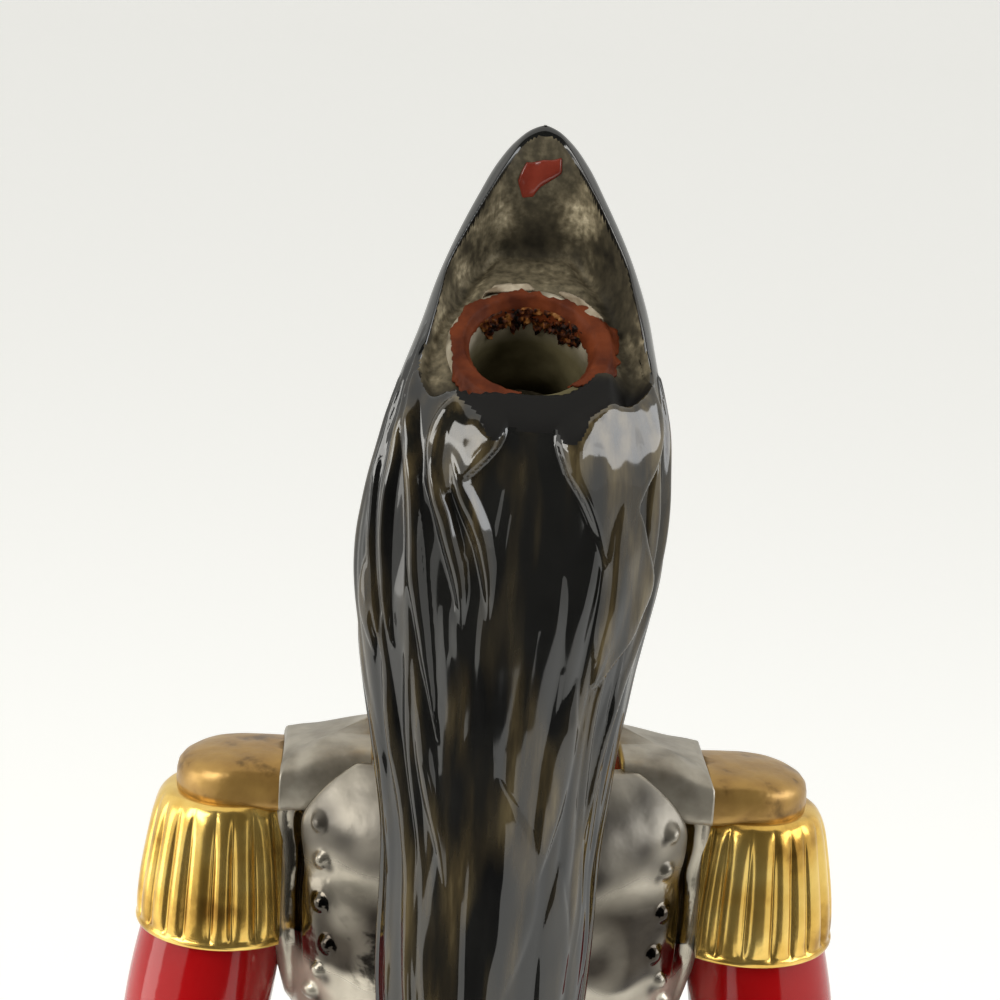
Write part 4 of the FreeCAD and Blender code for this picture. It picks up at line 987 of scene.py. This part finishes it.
def strap_outline(drawn_in, steps=40):
    """A rectangle drawn in at front and back and less at the arm's end; its inner end meets the collar."""
    across = np.linspace(STRAP["inner"], STRAP["outer"] - 0.35 * max(drawn_in - 0.5, 0), steps)
    back = np.linspace(STRAP["half_depth"], BOARD["half_depth"] + 0.2, steps) - drawn_in
    x = np.concatenate([across, across[::-1]])
    y = np.concatenate([-back, back])
    return x, y


def board_outline(drawn_in, steps=60):
    """Straight sides into a half circle at the arm's end, drawn in all round but at the inner end."""
    radius = BOARD["half_depth"] - drawn_in
    centre = BOARD["outer"] - BOARD["half_depth"] - 0.8 * drawn_in
    turn = np.linspace(-np.pi / 2, np.pi / 2, steps)
    straight = np.linspace(BOARD["inner"], centre, 20, endpoint=False)
    x = np.concatenate([straight, centre + radius * np.cos(turn), straight[::-1]])
    y = np.concatenate([0 * straight - radius, radius * np.sin(turn), 0 * straight + radius])
    return x, y


def cushion(outline, sizes, seed, rise=0.0, lumpy=0.25):
    """The outline repeated up the roll of the edge, with soft lumps, and risen towards the inner end."""
    rings = []
    for drawn_in, share in CUSHION_ROLL:
        x, y = outline(drawn_in)
        towards = (sizes["outer"] - x) / (sizes["outer"] - sizes["inner"])
        z = sizes["bottom"] + share * (sizes["top"] - sizes["bottom"] + rise * towards)
        rings.append(np.stack([x, y, z], axis=-1))
    rings = np.array(rings)
    lumps = lumpy * soft_field(rings, 4.2, seed) * np.linspace(0, 1, len(rings))[:, None]
    rings[..., 2] = np.minimum(rings[..., 2] + lumps, sizes["top"] + rise)
    return skin(rings)


strap_vertices, strap_faces = cushion(strap_outline, STRAP, 41, rise=2.4, lumpy=0.8)
board_vertices, board_faces = cushion(board_outline, BOARD, 43)
for side, strap, board in (
    ("left", strap_vertices, board_vertices),
    ("right", mirrored(strap_vertices), mirrored(board_vertices)),
):
    make_piece(f"{side}_shoulder_strap", strap, strap_faces, "worn_platinum",
               nodes=[f"{side}_shoulder_strap"], slot="platinum_lustre")
    make_piece(f"{side}_epaulette_board", board, board_faces, "worn_gold",
               nodes=[f"{side}_epaulette_board"], slot="gold_lustre")

# %% [markdown]
# Under the board hangs the bullion fringe, a bell of thick strands round the top of the sleeve.
# It could be dozens of cords, but in clay it is one bell with flutes pressed into it. The bell is
# a turned profile whose radius swells and sinks with the angle: each strand is a rounded rib with
# a sharp groove beside it, and a thin smooth hem runs round the lower edge.

# %% Bullion fringes
SHOULDER_AXIS = 44.2
ARMHOLE_SIDE = 34.7
STRANDS = 22
FRINGE_PROFILE = (
    # radius, level, how deep the flutes are there
    (8.6, 314.9, 0.0), (10.4, 314.5, 0.0), (11.6, 313.2, 0.15), (12.5, 310.8, 0.5), (13.2, 307.5, 0.8),
    (13.9, 303.5, 0.95), (14.5, 299.5, 1.0), (14.85, 295.8, 1.0), (14.9, 293.6, 0.8), (14.85, 292.6, 0.35),
    (15.05, 292.0, 0.05), (15.0, 291.4, 0.0), (14.7, 291.1, 0.0), (14.0, 291.3, 0.0), (13.2, 292.4, 0.0),
    (12.6, 296.0, 0.0), (11.0, 302.0, 0.0), (8.0, 306.0, 0.0),
)


def fringe(seed):
    """Radius = profile - depth times groove, which is 1 at each strand's edge and falls off as a power."""
    wander = np.random.default_rng(seed).uniform(-0.16, 0.16, STRANDS)
    station = np.arange(len(FRINGE_PROFILE))
    fine = np.linspace(0, station[-1], 4 * len(FRINGE_PROFILE))
    columns = np.array(FRINGE_PROFILE).T
    radius, level, depth = (smooth_line(fine, station, values)[:, None] for values in columns)
    turn = np.linspace(0, 1, STRANDS * 16, False)[None, :]
    count = turn * STRANDS
    strand = count + np.interp(count, np.arange(STRANDS + 1), np.append(wander, wander[0]))
    groove = np.abs(2 * (strand % 1) - 1) ** 2.6
    reach = radius - np.maximum(depth, 0) * groove
    angle = 2 * np.pi * turn
    across = np.maximum(SHOULDER_AXIS + reach * np.cos(angle), ARMHOLE_SIDE)
    return np.stack([across, reach * np.sin(angle), level + 0 * angle], axis=-1)


make_piece("left_epaulette_fringe", *skin(fringe(51)), "gold_lustre", nodes=["left_epaulette_fringe"])
right_vertices, right_faces = skin(fringe(52))
make_piece(
    "right_epaulette_fringe", mirrored(right_vertices), right_faces, "gold_lustre",
    nodes=["right_epaulette_fringe"]
)

# %% [markdown]
# The face is a calm one on the rule of thirds that drawing books teach: brow, nose and chin at
# even steps, eyes one eye's width apart, the mouth a third of the way from nose to chin. It is
# a relief on the head's plain ovals, so each feature is one soft hill or hollow with its own place.

# %% Head and face
HEAD_STATIONS = (
    # level, half width, half depth, middle
    (346.6, 4.0, 6.5, -9.0), (347.4, 6.8, 11.0, -7.0), (349.0, 9.4, 14.4, -5.5), (352.8, 12.4, 17.6, -3.9),
    (359.5, 14.3, 19.4, -2.1), (368.0, 15.5, 20.6, -0.5), (379.0, 16.0, 21.2, 0.5), (387.2, 13.5, 17.6, 1.0),
    (393.8, 8.5, 11.6, 1.0),
)
BROW, EYES, NOSE_TIP, MOUTH_LINE, CHIN = 366.6, 363.9, 359.4, 354.9, 350.6
EYE_APART = 6.1
EYE_HALF_WIDTH = 2.9
NECK_HALF_WIDTH = 10.8
THROAT_LEVELS = (331.2, 352)


def eye_almond(aside, level):
    """Below 1 inside the eye: an almond between two arcs."""
    arc = np.clip(1 - (aside / EYE_HALF_WIDTH) ** 2, 0.001, 1)
    return np.abs(level - EYES) / (1.25 * arc) + 0 * aside


def face_relief(x, level):
    """Brow, sockets, eyes and lids, nose with its wings, cheeks, lips and chin, each a hill or hollow."""
    aside = np.abs(x) - EYE_APART
    almond = eye_almond(aside, level)
    bridge = smooth_line(level, (357.0, 358.0, NOSE_TIP, 362.5, 365.5, 369), (0.0, 1.6, 4.2, 2.6, 1.3, 0.4))
    bridge_width = smooth_line(level, (357.0, NOSE_TIP, 365.5, 369), (2.3, 2.1, 1.35, 2.0))
    lips = np.clip(1 - (x / 4.6) ** 2, 0, 1)
    return (
        bridge * np.exp(-((x / bridge_width) ** 2))
        + 1.3 * hill(np.abs(x) - 2.5, level - 358.7, 1.2, 1.2)
        + 0.9 * hill(aside, level - BROW, 4.4, 1.1)
        - 1.9 * hill(aside, level - EYES, 3.4, 2.0)
        + 1.3 * soft_step(1.25, 0.55, almond)
        + 0.35 * np.exp(-(((almond - 1.2) / 0.18) ** 2)) * soft_step(EYES - 0.4, EYES + 0.3, level)
        + 0.8 * hill(np.abs(x) - 9.6, level - 360.4, 3.6, 2.8)
        + 0.95 * lips * hill(0, level - MOUTH_LINE - 0.8, 1, 0.75)
        + 1.1 * lips * hill(0, level - MOUTH_LINE + 0.95, 1, 0.85)
        - 0.6 * hill(x, level - MOUTH_LINE, 4.2, 0.28)
        - 0.5 * hill(x, level - 352.6, 4.0, 0.8)
        + 1.5 * hill(x, level - CHIN, 3.8, 1.7)
    )


def ear_relief(y, level):
    """An ear: a raised rim round a shallow bowl, with a lobe below."""
    away = np.hypot((y - 3.6) / 3.0, (level - 363.4) / 4.8)
    return 1.3 * np.exp(-(((away - 0.85) / 0.22) ** 2)) + 0.9 * hill(y - 2.6, level - 359.0, 1.5, 1.4)


def head_form(rows, front_columns, back_columns):
    """Ovals with the face's relief pushed forward and the ears' outward, and the bore's way kept open."""
    stations, wide, deep, middle = np.array(HEAD_STATIONS).T
    level = np.linspace(stations[0], stations[-1], rows)[:, None]
    turn = np.concatenate(
        [np.linspace(np.pi, 2 * np.pi, front_columns, False), np.linspace(0, np.pi, back_columns, False)]
    )[None, :]
    x = smooth_line(level, stations, wide) * np.cos(turn)
    y = smooth_line(level, stations, middle) + smooth_line(level, stations, deep) * np.sin(turn)
    front = soft_step(0.1, 0.5, -np.sin(turn))
    flank = soft_step(0.8, 0.93, np.abs(np.cos(turn))) * np.sign(np.cos(turn))
    points = np.stack(
        [x + flank * ear_relief(y, level), y - front * face_relief(x, level), level + 0 * x], axis=-1
    )
    across, up, along = to_mouth(points)
    in_bore = (np.hypot(across, up) < NECK_RADIUS - 1) & (along > WELL_FLOOR - 4)
    return points + (np.where(in_bore, WELL_FLOOR - 4, along) - along)[..., None] * MOUTH_AXIS


def head_paints(points):
    """Where the eyes are white, where lashes, brows, irises and hair are dark, and where the lips are red."""
    x, y, level = points[..., 0], points[..., 1], points[..., 2]
    aside = np.abs(x) - EYE_APART
    front = soft_step(-8, -12, y)
    almond = eye_almond(aside, level)
    inside = soft_step(1.05, 0.95, almond) * (np.abs(aside) < EYE_HALF_WIDTH)
    iris = soft_step(1.25, 1.1, np.hypot(aside, level - EYES - 0.1)) * inside
    lash = np.exp(-(((almond - 1.1) / 0.13) ** 2)) * (level > EYES) * (np.abs(aside) < EYE_HALF_WIDTH)
    brow = soft_step(0.75, 0.5, np.abs(level - BROW - 0.2 + 0.03 * aside**2))
    brow = brow * soft_step(4.2, 3.4, np.abs(aside))
    hair = soft_step(-1.0, 1.0, y) * soft_step(354, 356, level) * soft_step(13.9, 13.5, np.abs(x))
    lips = soft_step(1.0, 0.7, np.hypot(x / 4.4, (level - MOUTH_LINE) / 1.9))
    return {
        "white": front * inside,
        "lip": front * lips,
        "dark": np.clip(front * (iris + lash + brow) + hair, 0, 1),
    }


def throat_form(rows, columns):
    """An upright tube, a little deeper than wide, from the collar into the head."""
    level = np.linspace(*THROAT_LEVELS, rows)[:, None]
    turn = np.linspace(0, 2 * np.pi, columns, False)[None, :]
    x = NECK_HALF_WIDTH * np.cos(turn)
    y = 1 + 1.05 * NECK_HALF_WIDTH * np.sin(turn)
    return np.stack(np.broadcast_arrays(x, y, level), axis=-1)


head_skin, neck_skin = skin(head_form(200, 230, 90)), skin(throat_form(12, 64))
head_vertices, head_faces = gather([head_skin, neck_skin])
is_head = np.arange(len(head_vertices)) < len(head_skin[0])
paints = {paint: values * is_head for paint, values in head_paints(head_vertices).items()}
make_piece(
    "head", head_vertices, head_faces, "face_glaze", nodes=["head_casting"], slot="flesh_glaze", **paints
)

# %% [markdown]
# The gloved hands hang at the seams of the breeches. A hand is a stack of boxy ovals, its
# fingers parted by grooves that run down to tips of different lengths, with the thumb in front.

# %% Hands
HAND_STATIONS = (
    # level, half thickness, half breadth
    (206.0, 6.0, 6.8), (200.0, 6.5, 8.4), (193.0, 6.7, 10.4), (187.5, 6.7, 11.2), (180.0, 5.9, 10.9),
    (175.5, 5.2, 10.0), (172.4, 4.0, 8.6), (171.0, 2.2, 6.4),
)
HAND_MIDDLE = np.array([51.2, -4.2])
KNUCKLES = 188.0
FINGER_GAPS = (-5.4, 0.0, 5.2)
FINGER_LIFTS = (
    # place across the fingers, how much higher the tip ends there
    (-11, 3.4), (-8, 1.6), (-2.7, 0.0), (2.6, 0.8), (8, 4.4), (11, 6.4),
)


def hand_form(rows, columns):
    """Boxy ovals with grooves between the fingers below the knuckles, and tips lifted finger by finger."""
    stations, thick, broad = np.array(HAND_STATIONS[::-1]).T
    level = np.linspace(stations[0], stations[-1], rows)[:, None]
    turn = np.linspace(0, 2 * np.pi, columns, False)[None, :]
    x = smooth_line(level, stations, thick) * np.sign(np.cos(turn)) * np.abs(np.cos(turn)) ** 0.75
    y = smooth_line(level, stations, broad) * np.sign(np.sin(turn)) * np.abs(np.sin(turn)) ** 0.85
    below = soft_step(KNUCKLES + 3, KNUCKLES - 4, level)
    grooves = sum(hill(y - gap, 0, 0.85, 1) for gap in FINGER_GAPS)
    knuckles = hill(0, level - KNUCKLES, 1, 2.6) * (1 - grooves)
    x = x * (1 - 0.3 * below * grooves + 0.08 * knuckles)
    lift = smooth_line(y, *zip(*FINGER_LIFTS)) * soft_step(KNUCKLES, 171, level)
    return np.stack([HAND_MIDDLE[0] + x, HAND_MIDDLE[1] + y, level + lift + 0 * x], axis=-1)


def thumb_form(rows, columns):
    """A tapering oval carried down a curved line in front of the palm."""
    along = np.linspace(0.02, 0.98, rows)[:, None]
    turn = np.linspace(0, 2 * np.pi, columns, False)[None, :]
    radius = 3.1 * np.sqrt(np.sin(np.pi * along)) * (1.1 - 0.25 * along)
    x = HAND_MIDDLE[0] - 1.2 + radius * np.cos(turn)
    y = HAND_MIDDLE[1] - 8.4 - 1.6 * np.sin(np.pi * along) + 0.95 * radius * np.sin(turn)
    return np.stack([x, y, 200 - 22 * along + 0 * turn], axis=-1)


hand_vertices, hand_faces = gather([skin(hand_form(90, 200)), skin(thumb_form(30, 32))])
make_piece("left_hand", hand_vertices, hand_faces, "white_glaze", nodes=["left_hand"])
make_piece("right_hand", mirrored(hand_vertices), hand_faces, "white_glaze", nodes=["right_hand"])

# %% [markdown]
# The plinth is turned on a wheel, and its glaze rounds every edge, which the light picks out.
# It is the CAD node's profile with rounded corners, carried round the upright axis.

# %% Plinth
EDGE_ROUND = 0.8
PLINTH_PROFILE = (
    # radius, level
    (1, 2), (59, 2), (59, 0), (68, 0), (68, 16), (62, 26), (1, 26),
)


def rounded(profile, radius):
    """Each inner corner as a parabola between points a radius from it, and one point more on each side."""
    profile = np.asarray(profile, float)
    before, corner, after = profile[:-2], profile[1:-1], profile[2:]
    back = (before - corner) / np.linalg.norm(before - corner, axis=1, keepdims=True)
    ahead = (after - corner) / np.linalg.norm(after - corner, axis=1, keepdims=True)
    u = np.linspace(0, 1, 7)[None, :, None]
    bends = corner[:, None] + radius * ((1 - u) ** 2 * back[:, None] + u**2 * ahead[:, None])
    starts = (corner + 1.4 * radius * back)[:, None]
    ends = (corner + 1.4 * radius * ahead)[:, None]
    bends = np.concatenate([starts, bends, ends], axis=1).reshape(-1, 2)
    return np.vstack([profile[:1], bends, profile[-1:]])


plinth_grid = turned(
    rounded(PLINTH_PROFILE, EDGE_ROUND), 180,
    origin=np.zeros(3), axis=np.array([0, 0, 1]), up=np.array([0, 1, 0])
)
make_piece("plinth", *skin(plinth_grid), "black_glaze", nodes=["plinth"])

# %% [markdown]
# The floor and backdrop are one pale sweep. The light is a pale room all round with three soft
# lamps. Dark cards stand behind the camera, lie on the floor and hang above it, because the
# polished black hair mirrors the room and its dark middle is the viewer's own shadow side.

# %% Floor, light and camera
BACKDROP_GLOW = 0.34
ROOM_LEVEL = 0.55


def seen_or_mirrored(tree):
    """1 for what the camera sees, directly, mirrored or through glass, and 0 for light on things."""
    path = tree.nodes.new("ShaderNodeLightPath")
    seen = path.outputs["Is Camera Ray"]
    for ray in ("Is Glossy Ray", "Is Transmission Ray"):
        either = tree.nodes.new("ShaderNodeMath")
        either.operation = "MAXIMUM"
        tree.links.new(seen, either.inputs[0])
        tree.links.new(path.outputs[ray], either.inputs[1])
        seen = either.outputs["Value"]
    return seen


def pale_sweep():
    """A floor that curves up into a wall far beyond the figure, near white to the camera and in mirrors."""
    across = np.linspace(-9.0, 9.0, 3)
    path = np.array([(9.0, 0.0), (-6.0, 0.0), (-7.4, 0.3), (-8.0, 1.0), (-8.2, 2.4), (-8.2, 9.0)])
    grid = np.stack(np.broadcast_arrays(across[None, :], path[:, :1], path[:, 1:]), axis=-1)
    rows, columns, _ = grid.shape
    index = np.arange(rows * columns).reshape(rows, columns)
    faces = np.stack([index[:-1, :-1], index[:-1, 1:], index[1:, 1:], index[1:, :-1]], axis=-1).reshape(-1, 4)
    mesh = bpy.data.meshes.new("sweep")
    mesh.from_pydata(grid.reshape(-1, 3).tolist(), [], faces[:, ::-1].tolist())
    mesh.polygons.foreach_set("use_smooth", np.ones(len(mesh.polygons), bool))
    tree, shader = start_finish("pale_cloth", 0.9)
    shader.inputs["Base Color"].default_value = (0.86, 0.86, 0.84, 1)
    shader.inputs["Emission Color"].default_value = (1.0, 1.0, 0.985, 1)
    glow = between(tree, seen_or_mirrored(tree), 0.0, BACKDROP_GLOW)
    tree.links.new(glow, shader.inputs["Emission Strength"])
    mesh.materials.append(materials["pale_cloth"])
    sweep = bpy.data.objects.new("sweep", mesh)
    bpy.context.scene.collection.objects.link(sweep)


def pale_room():
    """An even pale room all round, white where it is seen or mirrored."""
    world = bpy.data.worlds.new("room")
    bpy.context.scene.world = world
    world.use_nodes = True
    tree = world.node_tree
    background = tree.nodes["Background"]
    background.inputs["Color"].default_value = (1.0, 0.99, 0.94, 1)
    level = between(tree, seen_or_mirrored(tree), ROOM_LEVEL, 1.0)
    tree.links.new(level, background.inputs["Strength"])


def soft_lamp(name, place, target, width, height, watts, colour):
    """A rectangular lamp at a place, turned to a target."""
    lamp = bpy.data.lights.new(name, "AREA")
    lamp.shape = "RECTANGLE"
    lamp.size = width
    lamp.size_y = height
    lamp.energy = watts
    lamp.color = colour
    holder = bpy.data.objects.new(name, lamp)
    bpy.context.scene.collection.objects.link(holder)
    holder.location = place
    holder.rotation_euler = (Vector(target) - Vector(place)).to_track_quat("-Z", "Y").to_euler()


CAMERA_TARGET = Vector((0.00315, 0.024, 0.37175))
CAMERA_DISTANCE = 0.3805
CAMERA_AZIMUTH = 176.5
CAMERA_ELEVATION = 14.3
CAMERA_ROLL = 3.32
SENSOR_WIDTH = 36
FOCAL_PIXELS, PICTURE_PIXELS = 2484, 1000
CAMERA_LENS = FOCAL_PIXELS / PICTURE_PIXELS * SENSOR_WIDTH


def photo_camera():
    """A camera behind the figure, turned a little about its own axis as the photograph is."""
    azimuth, elevation, roll = np.radians([CAMERA_AZIMUTH, CAMERA_ELEVATION, CAMERA_ROLL])
    level = np.cos(elevation)
    back = Vector((np.sin(azimuth) * level, -np.cos(azimuth) * level, np.sin(elevation)))
    camera = bpy.data.objects.new("camera", bpy.data.cameras.new("camera"))
    bpy.context.scene.collection.objects.link(camera)
    facing = (-back).to_track_quat("-Z", "Y").to_matrix().to_4x4()
    camera.matrix_world = (
        Matrix.Translation(CAMERA_TARGET + back * CAMERA_DISTANCE) @ facing @ Matrix.Rotation(roll, 4, "Z")
    )
    camera.data.lens = CAMERA_LENS
    camera.data.clip_start = 0.01
    camera.data.clip_end = 60
    bpy.context.scene.camera = camera


def dark_cards():
    """Dark cards that only mirrors see, as a dark viewer would be: upright, on the floor and above."""
    half, low, high, away = 0.55, 0.003, 0.78, 0.8
    inner, outer, near, floor = -0.03, 0.55, 0.3, 0.003
    upright = [(-half, away, low), (half, away, low), (half, away, high), (-half, away, high)]
    flat = [(inner, near, floor), (outer, near, floor), (outer, away, floor), (inner, away, floor)]
    wide, step, top = 1.2, 0.78, 2.2
    above = [(-wide, away, step), (wide, away, step), (wide, away, top), (-wide, away, top)]
    mesh = bpy.data.meshes.new("viewer_card")
    mesh.from_pydata(upright + flat + above, [], np.arange(12).reshape(3, 4).tolist())
    _, shader = start_finish("dark_cloth", 1.0)
    shader.inputs["Base Color"].default_value = (0.012, 0.012, 0.013, 1)
    mesh.materials.append(materials["dark_cloth"])
    card = bpy.data.objects.new("viewer_card", mesh)
    bpy.context.scene.collection.objects.link(card)
    card.visible_camera = False
    card.visible_shadow = False
    card.visible_diffuse = False


pale_sweep()
dark_cards()
pale_room()
soft_lamp("left_lamp", (0.78, 0.62, 0.92), (0, 0, 0.37), 0.62, 0.62, 7.4, (1.0, 0.985, 0.94))
soft_lamp("left_window", (1.3, 0.12, 0.3), (0, 0, 0.33), 0.6, 0.9, 4.2, (1.0, 0.98, 0.93))
soft_lamp("right_lamp", (-0.95, 0.32, 0.78), (0, 0, 0.37), 0.9, 0.5, 5.8, (0.95, 0.97, 1.0))
photo_camera()
bpy.context.scene.view_settings.view_transform = "Standard"
print("floor, room and camera ready")

# %% [markdown]
# The CAD nodes that keep their own shape take the finish of their slot.

# %% Finishes on the CAD nodes
node_finish = {row["node"]: row["material_slot"] for row in frame["record"]["subparts"]}
for node, piece in frame["nodes"].items():
    piece.data.materials.clear()
    piece.data.materials.append(materials[node_finish[node]])
print("dressed nodes:", len(node_finish))
